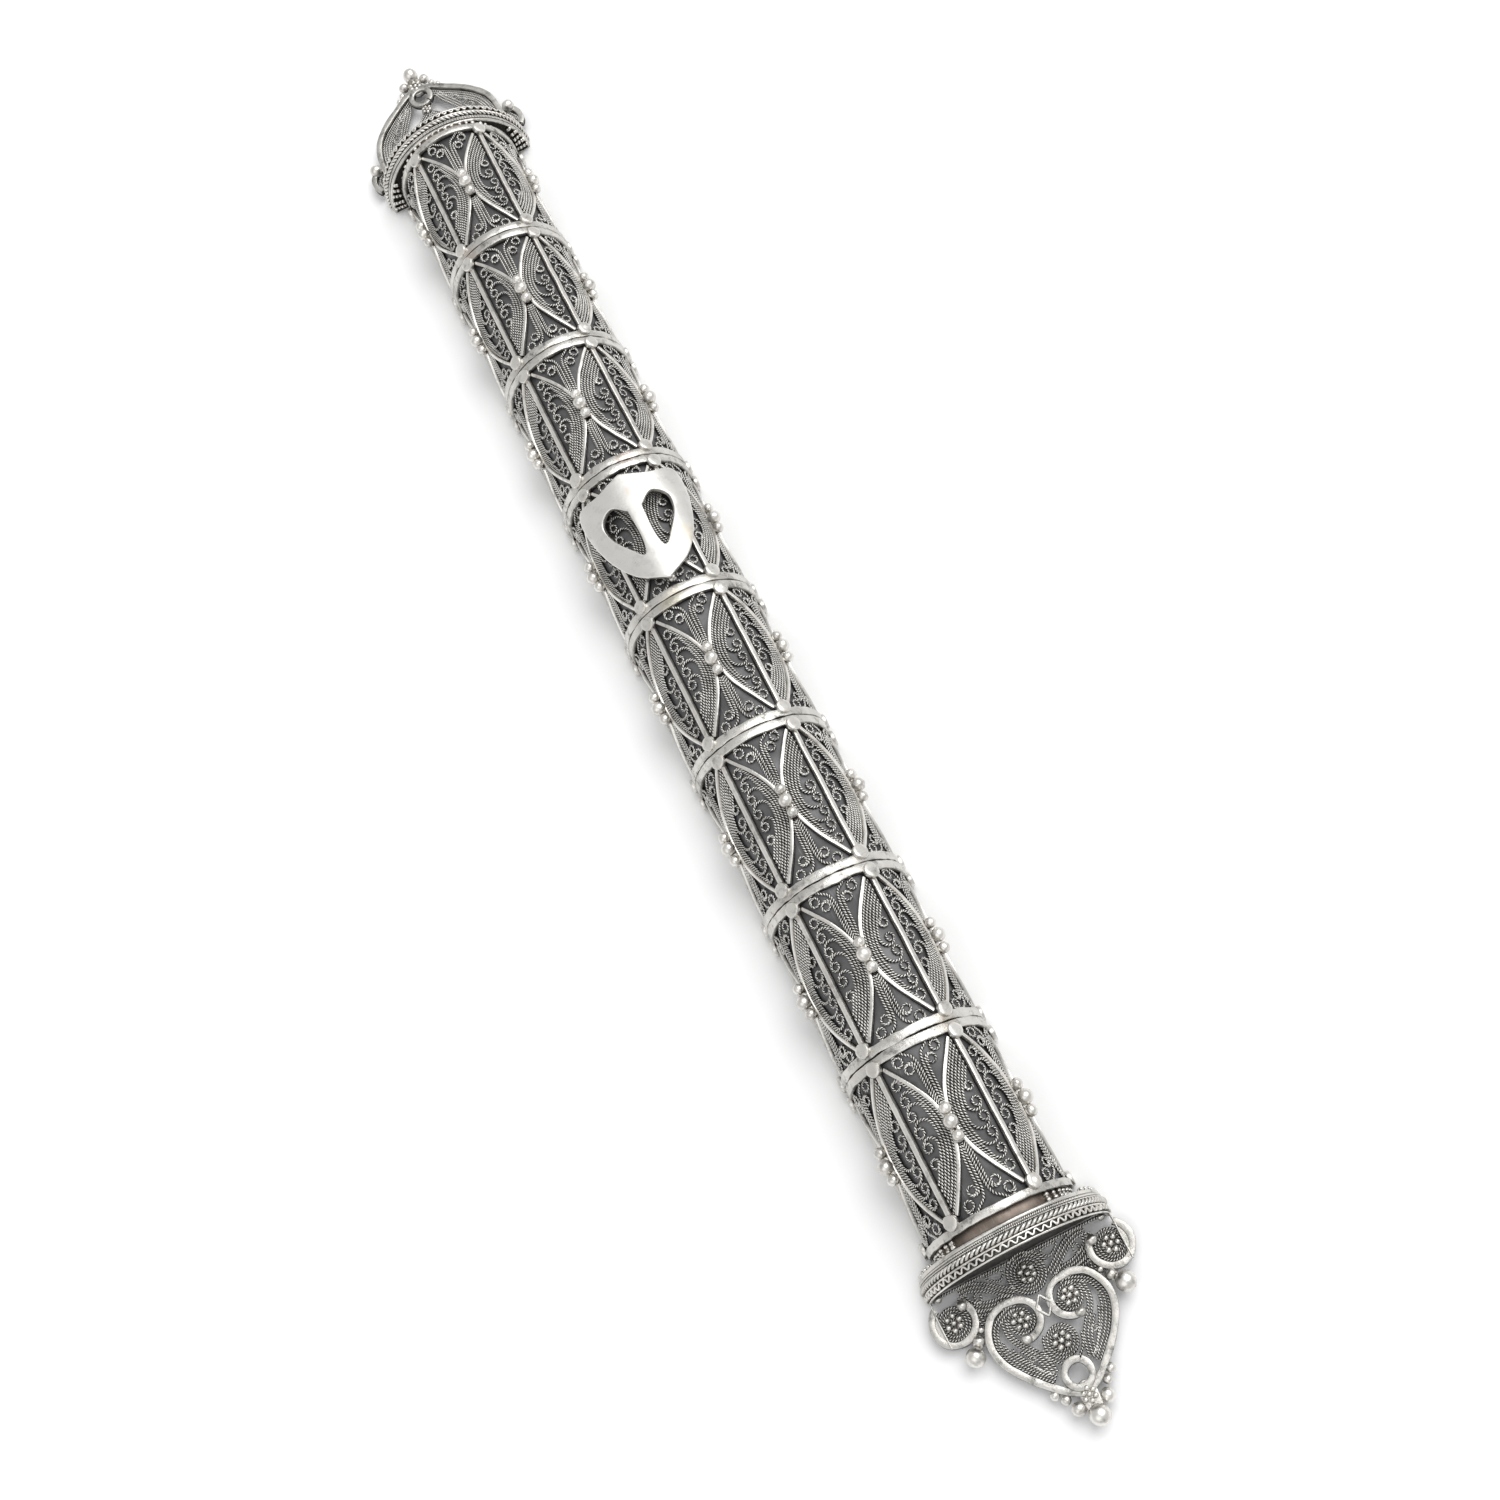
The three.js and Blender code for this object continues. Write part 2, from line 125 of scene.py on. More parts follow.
class Soup:
    """Vertices and faces gathered for one piece. polish is 1 on crests and 0 in the hollows."""

    def __init__(self):
        self.points, self.polish, self.faces, self.count = [], [], {}, 0

    def add(self, points, faces, polish=1.0):
        points = np.asarray(points, float).reshape(-1, 3)
        self.points.append(points)
        self.polish.append(np.broadcast_to(polish, len(points)).astype(np.float32))
        for group in faces:
            group = np.asarray(group, np.int64)
            self.faces.setdefault(group.shape[1], []).append(group + self.count)
        self.count += len(points)

    def mesh(self, name, sharp=32):
        mesh = bpy.data.meshes.new(name)
        loops, starts, at = [], [], 0
        for size, groups in sorted(self.faces.items()):
            group = np.concatenate(groups)
            loops.append(group.ravel())
            starts.append(at + size * np.arange(len(group)))
            at += group.size
        loops, starts = np.concatenate(loops), np.concatenate(starts)
        mesh.vertices.add(self.count)
        points = np.concatenate(self.points) * MM
        points[:, 2] = np.maximum(points[:, 2], 0)  # nothing stands below the plane of the back
        mesh.vertices.foreach_set("co", points.astype(np.float32).ravel())
        mesh.loops.add(len(loops))
        mesh.loops.foreach_set("vertex_index", loops.astype(np.int32))
        mesh.polygons.add(len(starts))
        mesh.polygons.foreach_set("loop_start", starts.astype(np.int32))
        polish = mesh.attributes.new("polish", "FLOAT", "POINT")
        polish.data.foreach_set("value", np.concatenate(self.polish))
        mesh.update(calc_edges=True)
        mesh.validate()
        mesh.shade_smooth()
        if sharp:
            mesh.set_sharp_from_angle(angle=radians(sharp))
        return mesh


def piece(name, source, material, node_name, sharp=32):
    """Makes a named object from a Soup or a mesh, gives it its material and ties it to the frame."""
    mesh = source.mesh(name, sharp) if isinstance(source, Soup) else source
    mesh.materials.clear()
    mesh.materials.append(material)
    made = bpy.data.objects.new(name, mesh)
    link(made)
    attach(made, "case")
    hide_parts(node_name)


def curve(points, steps=10):
    """A smooth path through the given points."""
    p = np.asarray(points, float)
    padded = np.vstack([2 * p[0] - p[1], p, 2 * p[-1] - p[-2]])
    t = np.linspace(0, 1, steps, endpoint=False)[:, None]
    parts = [0.5 * (2 * b + (c - a) * t + (2 * a - 5 * b + 4 * c - d) * t ** 2
                    + (3 * b - a - 3 * c + d) * t ** 3)
             for a, b, c, d in zip(padded, padded[1:], padded[2:], padded[3:])]
    return np.vstack(parts + [p[-1:]])


def arc(cx, cy, radius, start, end, steps=24):
    a = np.radians(np.linspace(start, end, steps + 1))
    return np.stack([cx + radius * np.cos(a), cy + radius * np.sin(a)], -1)


def lay(path, h, place, step):
    """Even steps along a flat path once it is placed: its points, outward directions and lengths."""
    path = np.asarray(path, float)
    h = np.broadcast_to(h, len(path)).astype(float)
    rough = place(path[:, 0], path[:, 1], h)
    s = np.concatenate([[0], np.cumsum(np.linalg.norm(np.diff(rough, axis=0), axis=1))])
    at = np.linspace(0, s[-1], max(2, int(round(s[-1] / step))) + 1)
    u, y, h = (np.interp(at, s, column) for column in (path[:, 0], path[:, 1], h))
    points = place(u, y, h)
    up = place(u, y, h + 0.01) - points
    return points, up / np.linalg.norm(up, axis=1, keepdims=True), at


def axes(points, up, closed=False):
    if closed:
        along = np.roll(points, -1, 0) - np.roll(points, 1, 0)
    else:
        along = np.gradient(points, axis=0)
    along /= np.linalg.norm(along, axis=1, keepdims=True)
    across = np.cross(along, up)
    across /= np.linalg.norm(across, axis=1, keepdims=True)
    return across, np.cross(across, along)


def skin(soup, rings, polish, closed=False):
    """Joins a row of rings, shaped (count, corners, 3), into a closed surface."""
    count, corners = rings.shape[:2]
    i = np.arange(count if closed else count - 1)[:, None] * corners
    j = np.arange(corners)[None, :]
    k = (j + 1) % corners
    nxt = (i + corners) % (count * corners)
    quads = np.stack([i + j, nxt + j, nxt + k, i + k], -1).reshape(-1, 4)
    faces = [quads]
    if not closed:
        ends = np.stack([np.arange(corners), (count * corners - 1) - np.arange(corners)])
        faces.append(ends)
    soup.add(rings, faces, np.broadcast_to(polish, (count, corners)).ravel())


def waves(rng, s, shortest, longest):
    """Three sine waves of random length and phase, added up along a wire."""
    return sum(np.sin(TAU * s / length + phase)
               for length, phase in zip(rng.uniform(shortest, longest, 3), rng.uniform(0, TAU, 3)))


def strip(soup, path, width, low, high, place, bevel=0.09, step=0.5, seed=0, uneven=0.02,
          closed=False, crown=0.0):
    """A flat wire on edge, from low to high, with rounded top edges and hand-worked waves."""
    rng = np.random.default_rng(seed)
    points, up, s = lay(path, high, place, step)
    if closed:
        points, up, s = points[:-1], up[:-1], s[:-1]
    across, out = axes(points, up, closed)
    half, b = width / 2, bevel
    base = low - high
    section = np.array([
        [-half, base], [half, base], [half, -b], [half - 0.3 * b, -0.3 * b], [half - b, 0],
        [0, crown], [b - half, 0], [0.3 * b - half, -0.3 * b], [-half, -b]])
    polish = np.array([0, 0, 0.55, 0.9, 1, 1, 1, 0.9, 0.55])
    wave = waves(rng, s, 3, 12)[:, None, None] * uneven / 2
    width_wave = 1 + waves(rng, s, 1.5, 6)[:, None] * uneven
    a = section[None, :, 0] * width_wave
    n = np.broadcast_to(section[None, :, 1], a.shape)
    rings = points[:, None] + a[..., None] * across[:, None] + n[..., None] * out[:, None]
    rings = rings + wave * (across + 0.6 * out)[:, None]
    skin(soup, rings, polish, closed)


def round_wire(soup, path, radius, h, place, step=0.25, corners=8):
    points, up, _ = lay(path, h, place, step)
    across, out = axes(points, up)
    t = TAU * np.arange(corners) / corners
    rings = points[:, None] + radius * (
        np.cos(t)[None, :, None] * across[:, None] + np.sin(t)[None, :, None] * out[:, None])
    skin(soup, rings, np.clip(0.5 + 0.6 * np.sin(t), 0, 1))


LAY = 0.76  # one full twist of the filigree wire
GAUGE = 0.42  # its width over both plies
STEPS_PER_LAY = 9
PLY_CORNERS = 5


def twisted(soup, path, h, place=on_case, gauge=GAUGE, lay_length=LAY, hand=1, phase=0.0,
            corners=PLY_CORNERS, steps=STEPS_PER_LAY, flat=0.92, tip=None, tail=3.6):
    """Two plies twisted round each other and rolled slightly flat. With tip, the last tail millimetres are
    drawn down to that gauge and the rest of the wire is duller."""
    points, up, s = lay(path, h, place, lay_length / steps)
    across, out = axes(points, up)
    t = TAU * np.arange(corners) / corners
    if tip is not None:
        gauge = np.interp(s[-1] - s, [0.8 * tail, 1.25 * tail], [tip, gauge])
    gauge = np.broadcast_to(gauge, len(s))[:, None]
    offset, radial, tangent = 0.235 * gauge, 0.265 * gauge, 0.34 * gauge
    for ply in (0, pi):
        turn = hand * TAU * s / lay_length + phase + ply
        c, d = np.cos(turn)[:, None], np.sin(turn)[:, None]
        r = offset + radial * np.cos(t)[None, :]
        q = tangent * np.sin(t)[None, :]
        a, n = c * r - d * q, (d * r + c * q) * flat
        rings = points[:, None] + a[..., None] * across[:, None] + n[..., None] * out[:, None]
        reach = np.hypot(a, n / flat) / (gauge / 2)
        crest = np.clip(1.25 * (reach - 0.45) / 0.55, 0, 1)
        rise = np.clip(0.5 + n / (0.5 * gauge), 0, 1)
        shown = 1.0 if tip is None else np.interp(s[-1] - s, [tail, 1.4 * tail], [1.0, 0.78])[:, None]
        skin(soup, rings, crest * rise * shown)


def icosphere(subdivisions):
    made = bmesh.new()
    bmesh.ops.create_icosphere(made, subdivisions=subdivisions, radius=1)
    made.verts.ensure_lookup_table()
    points = np.array([v.co[:] for v in made.verts])
    faces = np.array([[v.index for v in f.verts] for f in made.faces])
    made.free()
    return points, faces


BALLS = {n: icosphere(n) for n in (2, 3, 4)}


def ball(soup, centre, radius, rng, fine=3, squash=0.04):
    points, faces = BALLS[fine]
    stretch = 1 + rng.uniform(-squash, squash, 3)
    lump = 1 + 0.5 * squash * np.sin(points @ rng.normal(size=3) * 2.5 + rng.uniform(0, TAU))
    soup.add(np.asarray(centre) + points * stretch * radius * lump[:, None], [faces],
             np.clip(0.55 + 0.6 * points[:, 2], 0.1, 1))


def turned(soup, profile, centre, up, rng, polish, segments=28):
    """A profile of (radius, height) pairs turned round the up direction, a little out of round."""
    up = np.asarray(up, float) / np.linalg.norm(up)
    side = np.cross(up, [0, 1, 0])
    side = side / np.linalg.norm(side)
    other = np.cross(up, side)
    t = TAU * np.arange(segments) / segments
    wobble = 1 + 0.018 * sum(np.sin(k * t + rng.uniform(0, TAU)) for k in (2, 3, 5))
    profile = np.asarray(profile, float)
    radii = profile[:, 0, None] * wobble
    round_it = np.cos(t)[:, None] * side + np.sin(t)[:, None] * other
    rings = np.asarray(centre) + radii[..., None] * round_it + profile[:, 1, None, None] * up
    skin(soup, rings, np.broadcast_to(np.reshape(polish, (-1, 1)), radii.shape))


# ---------- materials
# How fine the marks on a surface are, in marks per metre.
HANDLING, CLOUDS, SPECKS, PATCHES, RAGGED_EDGES, BRUSHING = 150, 260, 5200, 620, 420, 900
BLACKENED_ROUGHNESS = (0.62,) * 3


def tree_of(name):
    material = bpy.data.materials.new(name)
    material.use_nodes = True
    tree = material.node_tree
    tree.nodes.clear()
    output = tree.nodes.new("ShaderNodeOutputMaterial")
    shader = tree.nodes.new("ShaderNodeBsdfPrincipled")
    tree.links.new(shader.outputs["BSDF"], output.inputs["Surface"])
    return material, tree, shader


def node(tree, kind, settings=None, **inputs):
    made = tree.nodes.new("ShaderNode" + kind)
    for key, value in (settings or {}).items():
        setattr(made, key, value)
    for key, value in inputs.items():
        key = key.replace("_", " ")
        socket = made.inputs[int(key[1:])] if key[0] == "i" and key[1:].isdigit() else made.inputs[key]
        if isinstance(value, bpy.types.NodeSocket):
            tree.links.new(value, socket)
        else:
            socket.default_value = value
    return made


def noise(tree, where, scale, detail=4, rough=0.6, stretch=None):
    """Noise with features 1/scale metres across, from 0 to 1."""
    if stretch is not None:
        where = node(tree, "Mapping", Vector=where, Scale=stretch).outputs[0]
    return node(tree, "TexNoise", Vector=where, Scale=scale, Detail=detail, Roughness=rough).outputs["Fac"]


def ramp(tree, value, stops, smooth=False):
    made = node(tree, "ValToRGB", Fac=value)
    made.color_ramp.interpolation = "EASE" if smooth else "LINEAR"
    while len(made.color_ramp.elements) < len(stops):
        made.color_ramp.elements.new(0.5)
    for element, (at, colour) in zip(made.color_ramp.elements, stops):
        element.position = at
        element.color = (*colour, 1) if hasattr(colour, "__len__") else (colour,) * 3 + (1,)
    return made.outputs["Color"]


def math_node(tree, operation, a, b, clamp=False):
    return node(tree, "Math", {"operation": operation, "use_clamp": clamp}, i0=a, i1=b).outputs[0]


def mix(tree, factor, a, b):
    made = tree.nodes.new("ShaderNodeMix")
    made.data_type = "RGBA"
    for socket, value in ((made.inputs[0], factor), (made.inputs[6], a), (made.inputs[7], b)):
        if isinstance(value, bpy.types.NodeSocket):
            tree.links.new(value, socket)
        else:
            socket.default_value = value if not hasattr(value, "__len__") else (*value, 1)
    return made.outputs[2]


def silver(name, bright, dull, oxide, rough, crevice, grain, bump=0.25, stains=(), brushed=None, grime=0.55,
           carried=False):
    """Oxidised silver: bright where polish is high, blackened in the hollows, finely scratched.
    rough is the roughness from smooth to coarse, and crevice the polish where black ends and metal begins.
    A carried-over CAD node has no polish of its own, so clouds stand in for it."""
    material, tree, shader = tree_of(name)
    where = node(tree, "TexCoord").outputs["Object"]
    if carried:
        polish = ramp(tree, noise(tree, where, HANDLING, 6), [(0.30, 0.15), (0.60, 1.0)])
    else:
        polish = node(tree, "Attribute", {"attribute_name": "polish"}).outputs["Fac"]
    cloud = noise(tree, where, CLOUDS, 5)
    fine = noise(tree, where, grain, 6, 0.7)
    speck = noise(tree, where, SPECKS, 2)
    lift = math_node(tree, "MULTIPLY_ADD", fine, 0.5)
    lift.node.inputs[2].default_value = -0.25
    shown = math_node(tree, "ADD", polish, lift, clamp=True)
    clean = ramp(tree, shown, [(crevice[0], 0.0), (crevice[1], 1.0)], smooth=True)
    metal = mix(tree, ramp(tree, cloud, [(0.35, 0.0), (0.68, 1.0)]), bright, dull)
    pits = ramp(tree, speck, [(0.70, 0.0), (0.76, 0.55)])
    metal = mix(tree, pits, metal, oxide)
    patch = ramp(tree, noise(tree, where, PATCHES, 7, 0.75), [(0.52, 0.0), (0.70, grime)])
    metal = mix(tree, patch, metal, oxide)
    for centre, radius, colour, strength in stains:
        away = node(tree, "VectorMath", {"operation": "DISTANCE"}, i0=where,
                    i1=tuple(c * MM for c in centre)).outputs["Value"]
        ragged = math_node(tree, "MULTIPLY_ADD", noise(tree, where, RAGGED_EDGES, 3), 0.8 * radius * MM)
        tree.links.new(away, ragged.node.inputs[2])
        spot = ramp(tree, math_node(tree, "DIVIDE", ragged, 1.5 * radius * MM),
                    [(0.45, strength), (0.95, 0.0)], smooth=True)
        metal = mix(tree, spot, metal, colour)
    tree.links.new(mix(tree, clean, oxide, metal), shader.inputs["Base Color"])
    shader.inputs["Metallic"].default_value = 1.0
    gloss = ramp(tree, fine, [(0.3, rough[0]), (0.7, rough[1])])
    tree.links.new(mix(tree, clean, BLACKENED_ROUGHNESS, gloss), shader.inputs["Roughness"])
    height = fine
    if brushed:
        height = mix(tree, 0.5, fine, noise(tree, where, BRUSHING, 3, 0.6, stretch=brushed))
    relief = node(tree, "Bump", Strength=bump, Distance=0.00006, Height=height)
    tree.links.new(relief.outputs[0], shader.inputs["Normal"])
    return material


STRIP_STAINS = (  # solder and flux marks: centre, radius, colour, strength
    ((-1.0, -1.0, 12.3), 2.6, (0.62, 0.58, 0.46), 0.6), ((3.2, -0.4, 12.0), 1.6, (0.75, 0.74, 0.70), 0.8),
    ((2.0, 22.4, 12.2), 1.8, (0.50, 0.42, 0.37), 0.6), ((-4.4, 65.6, 11.2), 2.2, (0.45, 0.38, 0.33), 0.5),
    ((5.0, -66.4, 11.0), 2.0, (0.56, 0.50, 0.42), 0.5))
bright_silver = silver(
    "bright_silver", (0.80, 0.78, 0.74), (0.64, 0.62, 0.585), (0.07, 0.066, 0.06), (0.26, 0.42),
    (0.10, 0.52), 2600)
wire_silver = silver(
    "twisted_wire_silver", (0.78, 0.765, 0.725), (0.56, 0.545, 0.52), (0.030, 0.029, 0.028), (0.26, 0.42),
    (0.22, 0.88), 3800, bump=0.15)
frame_silver = silver(
    "worn_frame_silver", (0.70, 0.685, 0.65), (0.52, 0.505, 0.475), (0.06, 0.056, 0.052), (0.24, 0.44),
    (0.12, 0.60), 1500, bump=0.85, grime=0.95, stains=STRIP_STAINS)
# Darker than the case's own wire silver: partly heavier tarnish, partly painted shade standing in for the
# finials' shadowed openwork.
finial_wire = silver(
    "finial_wire_silver", (0.76, 0.745, 0.71), (0.50, 0.49, 0.465), (0.026, 0.025, 0.024), (0.26, 0.44),
    (0.24, 0.92), 3800, bump=0.15)
# Darker than the case's frame silver: partly heavier tarnish, partly painted shade standing in for the
# finials' shadowed openwork.
finial_silver = silver(
    "finial_frame_silver", (0.56, 0.545, 0.515), (0.40, 0.39, 0.365), (0.05, 0.047, 0.044), (0.26, 0.46),
    (0.12, 0.60), 1500, bump=0.85, grime=0.95)


def dark_sheet(name, light, dark, rough):
    """Blackened silver sheet: mottled, a little greasy, with fine scratches along the case."""
    material, tree, shader = tree_of(name)
    where = node(tree, "TexCoord").outputs["Object"]
    cloud = noise(tree, where, 190, 6)
    scratch = noise(tree, where, 3000, 3, 0.7, stretch=(1, 0.06, 1))
    tone = mix(tree, ramp(tree, cloud, [(0.34, 0.0), (0.66, 1.0)], smooth=True), light, dark)
    tone = mix(tree, ramp(tree, scratch, [(0.60, 0.0), (0.72, 0.5)]), tone, tuple(1.6 * c for c in light))
    tree.links.new(tone, shader.inputs["Base Color"])
    shader.inputs["Metallic"].default_value = 0.75
    tree.links.new(ramp(tree, cloud, [(0.3, rough[0]), (0.7, rough[1])]), shader.inputs["Roughness"])
    relief = node(tree, "Bump", Strength=0.2, Distance=0.00005, Height=scratch)
    tree.links.new(relief.outputs[0], shader.inputs["Normal"])
    return material


liner_dark = dark_sheet("blackened_liner", (0.150, 0.150, 0.153), (0.090, 0.089, 0.090), (0.46, 0.62))
# The end wall's near-black tone is partly blackened oxide and partly painted shade from the collar that
# overhangs it.
wall_dark = dark_sheet("blackened_and_shaded_wall", (0.11, 0.105, 0.10), (0.055, 0.052, 0.05), (0.42, 0.6))


# ---------- the case's sides
def hoop(soup, low_y, high_y, low, high, foot_u, steps=72, bevel=0.1, uneven=0.0, seed=0):
    """A strip round the case, from foot to foot."""
    u = np.linspace(-foot_u, foot_u, steps)
    path = np.stack([u, np.full(steps, (low_y + high_y) / 2)], -1)
    strip(soup, path, high_y - low_y, low, high, on_case, bevel, 0.45, seed, uneven)


liner = Soup()
hoop(liner, -HALF_LENGTH, HALF_LENGTH, LINER_TOP - 0.6, LINER_TOP, FOOT_U, bevel=0.05)
piece("liner_sheet", liner, liner_dark, "liner")


def bar_edges(i):
    """The middle of a section, and its end towards +Y."""
    low, high = span(f"infill_{i}", 1)
    return (low + high) / 2, high


def bow(y, spread=0.0):
    return PETAL_FOOT + (PETAL_BOW + spread) * np.cos(pi * y / (2 * PETAL_REACH))


def petal_arc(centre, side, mid, spread):
    y = np.linspace(-PETAL_REACH, PETAL_REACH, 40)
    return np.stack([centre + side * bow(y, spread), mid + y], -1)


BARS = (-3, -1, 1, 3)  # bars and petal boundaries round a section, in half petals
BOUNDARIES = (-2, 0, 2)
WIRE_FOOT, PETAL_TOP, DOT_FOOT = 8.52, 9.14, 9.12  # distances from the case's axis
BAR_WIDTH, PETAL_WIDTH = 0.64, 0.46
TRIO = ((-1, 0.73, 9.62), (0, 0.92, 9.78), (1, 0.73, 9.62))  # bead trios: step, radius, height
TRIO_SPACING = 1.72
DOT_PROFILE = [(0.0, 0.70), (0.45, 0.70), (0.80, 0.68), (0.93, 0.63), (1.0, 0.52), (1.02, 0.30),
               (1.0, 0.05), (0.9, 0.0), (0.0, 0.0)]
DOT_POLISH = [1, 1, 1, 1, 0.9, 0.6, 0.2, 0, 0]


def dot(soup, u, y, rng):
    """A flattened granule soldered over a bar's end."""
    centre = spot(u, y, DOT_FOOT)
    up = spot(u, y, DOT_FOOT + 1) - centre
    size, height = 1 + jitter(rng, 0.05), 1 + rng.uniform(-0.12, 0.08)
    profile = [(r * size, z * height) for r, z in DOT_PROFILE]
    turned(soup, profile, centre, up + rng.uniform(-0.05, 0.05, 3), rng, DOT_POLISH)


def petal_sides(bar):
    """An inner bar has a petal's side on either hand, an outer one only towards the crest."""
    return (-1, 1) if abs(bar) == 1 else (-np.sign(bar),)


def lattice(i):
    rng = np.random.default_rng(100 + i)
    mid, top = bar_edges(i)
    wires, beads = Soup(), Soup()
    for bar in BARS:
        centre = bar * HALF_PETAL
        ends = np.array([[centre + jitter(rng, 0.08), mid + e * (top - mid + 0.1)] for e in (-1, 1)])
        path = curve([ends[0], ends.mean(0) + [jitter(rng, 0.06), 0], ends[1]])
        strip(wires, path, BAR_WIDTH, WIRE_FOOT, R_REF + rng.uniform(-0.04, 0.06), on_case,
              seed=rng.integers(1 << 30))
        for side in petal_sides(bar):
            strip(wires, petal_arc(centre, side, mid, rng.uniform(-0.12, 0.06)), PETAL_WIDTH,
                  WIRE_FOOT, PETAL_TOP + jitter(rng, 0.05), on_case, seed=rng.integers(1 << 30))
        for end in (-1, 1):
            dot(beads, centre + jitter(rng, 0.12),
                mid + end * (PITCH / 2 - DOT_INSET) + jitter(rng, 0.12), rng)
    for boundary in BOUNDARIES:
        if boundary == 0 and i == PLAQUE_SECTION:
            continue
        for step, radius, rise in TRIO:
            at = spot(boundary * HALF_PETAL + jitter(rng, 0.1),
                      mid + TRIO_SPACING * step + jitter(rng, 0.06), rise)
            ball(beads, at, radius * (1 + jitter(rng, 0.04)), rng, fine=4)
    piece(f"lattice_wires_{i}", wires, bright_silver, f"lattice_{i}")
    piece(f"lattice_beads_{i}", beads, bright_silver, f"lattice_{i}")


# ---------- filigree inside the lattice
STRAND_H = 8.76  # distance of the twisted wires from the case's axis
STRAND_FIRST, STRAND_STEP = 0.46, 0.425  # the outermost strand's inset, and each next one's
BAR_CLEAR = 0.56  # strands end this far from the middle of a bar
CURLS = (6.76, 4.70, 2.70, 0.72, -1.22, -3.15)  # eyelets against a bar, from the petal's middle
EYELET = 0.54
EYELET_GAUGE = 0.34  # the wire is drawn finer where it closes into a ring
SWING = radians(150)  # the turn over which a wire swings in to its eyelet's ring


def eyelet(centre, radius, start_radius, start, sign, turn=500, points=56):
    """A path that swings in from start_radius to a small closed ring. start and turn are in degrees."""
    t = np.linspace(0, radians(turn), points)
    ease = np.where(t < SWING, 0.5 * (1 + np.cos(t * pi / SWING)), 0)
    rho = radius + (start_radius - radius) * ease
    a = radians(start) + sign * t
    return np.stack([centre[0] + rho * np.cos(a), centre[1] + rho * np.sin(a)], -1)


def half_petal(soup, centre, side, turn, mid, rng):
    """Wires that follow a petal's bowed side and peel off one by one into eyelets by the bar.
    turn is 1 where the eyelets climb towards +Y and -1 where they climb towards -Y."""
    for k, at in enumerate(CURLS):
        y = np.linspace(-8.9, at, 60)
        slope = PETAL_BOW * pi / (2 * PETAL_REACH) * np.sin(pi * y / (2 * PETAL_REACH))
        inset = (STRAND_FIRST + STRAND_STEP * k) * np.sqrt(1 + slope ** 2)
        u = bow(y) - inset + 0.02 * np.sin(1.3 * y + rng.uniform(0, TAU))
        keep = u > BAR_CLEAR
        y, u = y[keep], u[keep]
        eye = np.array([1.42 + jitter(rng, 0.08), at + jitter(rng, 0.08)])
        if len(y) < 3:
            continue
        reach = max(u[-1] - eye[0], EYELET + 0.05)
        hook = eyelet(eye, EYELET * (1 + jitter(rng, 0.08)), reach, 0, 1, turn=rng.uniform(485, 508))
        path = np.vstack([np.stack([u, y], -1)[:-1], hook])
        path = path * [side, turn] + [centre, mid]
        h = STRAND_H + np.concatenate([np.zeros(len(path) - 12), np.linspace(0, 0.10, 12)])
        twisted(soup, path, h, phase=rng.uniform(0, TAU), hand=turn * side, tip=EYELET_GAUGE)


def spandrel(soup, boundary, end, mid, rng):
    """Four wires that rise from the beads and part into two eyelets on each side."""
    ring = PITCH / 2
    for side in (-1, 1):
        inner = np.array([1.52 + jitter(rng, 0.08), ring - 3.25 + jitter(rng, 0.1)])
        outer = np.array([2.58 + jitter(rng, 0.1), ring - 1.98 + jitter(rng, 0.1)])
        first = curve([[0.35, 2.5], [0.62, 4.2], [0.68, 6.0], [0.70, inner[1] - 0.35]])
        hook = eyelet(inner, EYELET, inner[0] - 0.70, 180, -1, turn=rng.uniform(485, 508))
        paths = [np.vstack([first, hook])]
        second = curve([[0.12, 2.5], [0.21, 4.2], [0.22, 6.2], [0.30, 7.8], [0.66, 8.95], [1.35, 9.5]])
        hook = eyelet(outer, EYELET * 1.08, 1.3, 155, -1, turn=rng.uniform(485, 508))
        paths.append(np.vstack([second, hook[4:]]))
        for k, path in enumerate(paths):
            path = path * [side, end] + [boundary, mid]
            twisted(soup, path, STRAND_H + 0.05 * k, phase=rng.uniform(0, TAU), hand=side * end,
                    tip=EYELET_GAUGE)


def filigree(i):
    rng = np.random.default_rng(200 + i)
    mid, _ = bar_edges(i)
    petals, spandrels = Soup(), Soup()
    for bar in BARS:
        for side in petal_sides(bar):
            half_petal(petals, bar * HALF_PETAL, side, side, mid, rng)
    for boundary in BOUNDARIES:
        for end in (-1, 1):
            spandrel(spandrels, boundary * HALF_PETAL, end, mid, rng)
    piece(f"petal_filigree_{i}", petals, wire_silver, f"infill_{i}", sharp=0)
    piece(f"spandrel_filigree_{i}", spandrels, wire_silver, f"infill_{i}", sharp=0)


PLAQUE_SECTION = next(i for i in range(1, SECTIONS + 1)
                      if abs(sum(span("shield_plaque", 1)) - sum(span(f"infill_{i}", 1))) < PITCH / 2)
for i in range(1, SECTIONS + 1):
    lattice(i)
    filigree(i)

for i in range(1, SECTIONS):
    low, high = span(f"ring_{i}", 1)
    middle = (low + high) / 2
    ring = Soup()
    for k, (a, b) in enumerate(((low, middle - 0.05), (middle + 0.05, high))):
        hoop(ring, a, b, 8.5, 9.3 + 0.05 * k, FOOT_U, uneven=0.05, seed=300 + 2 * i + k)
    piece(f"ring_strips_{i}", ring, frame_silver, f"ring_{i}")


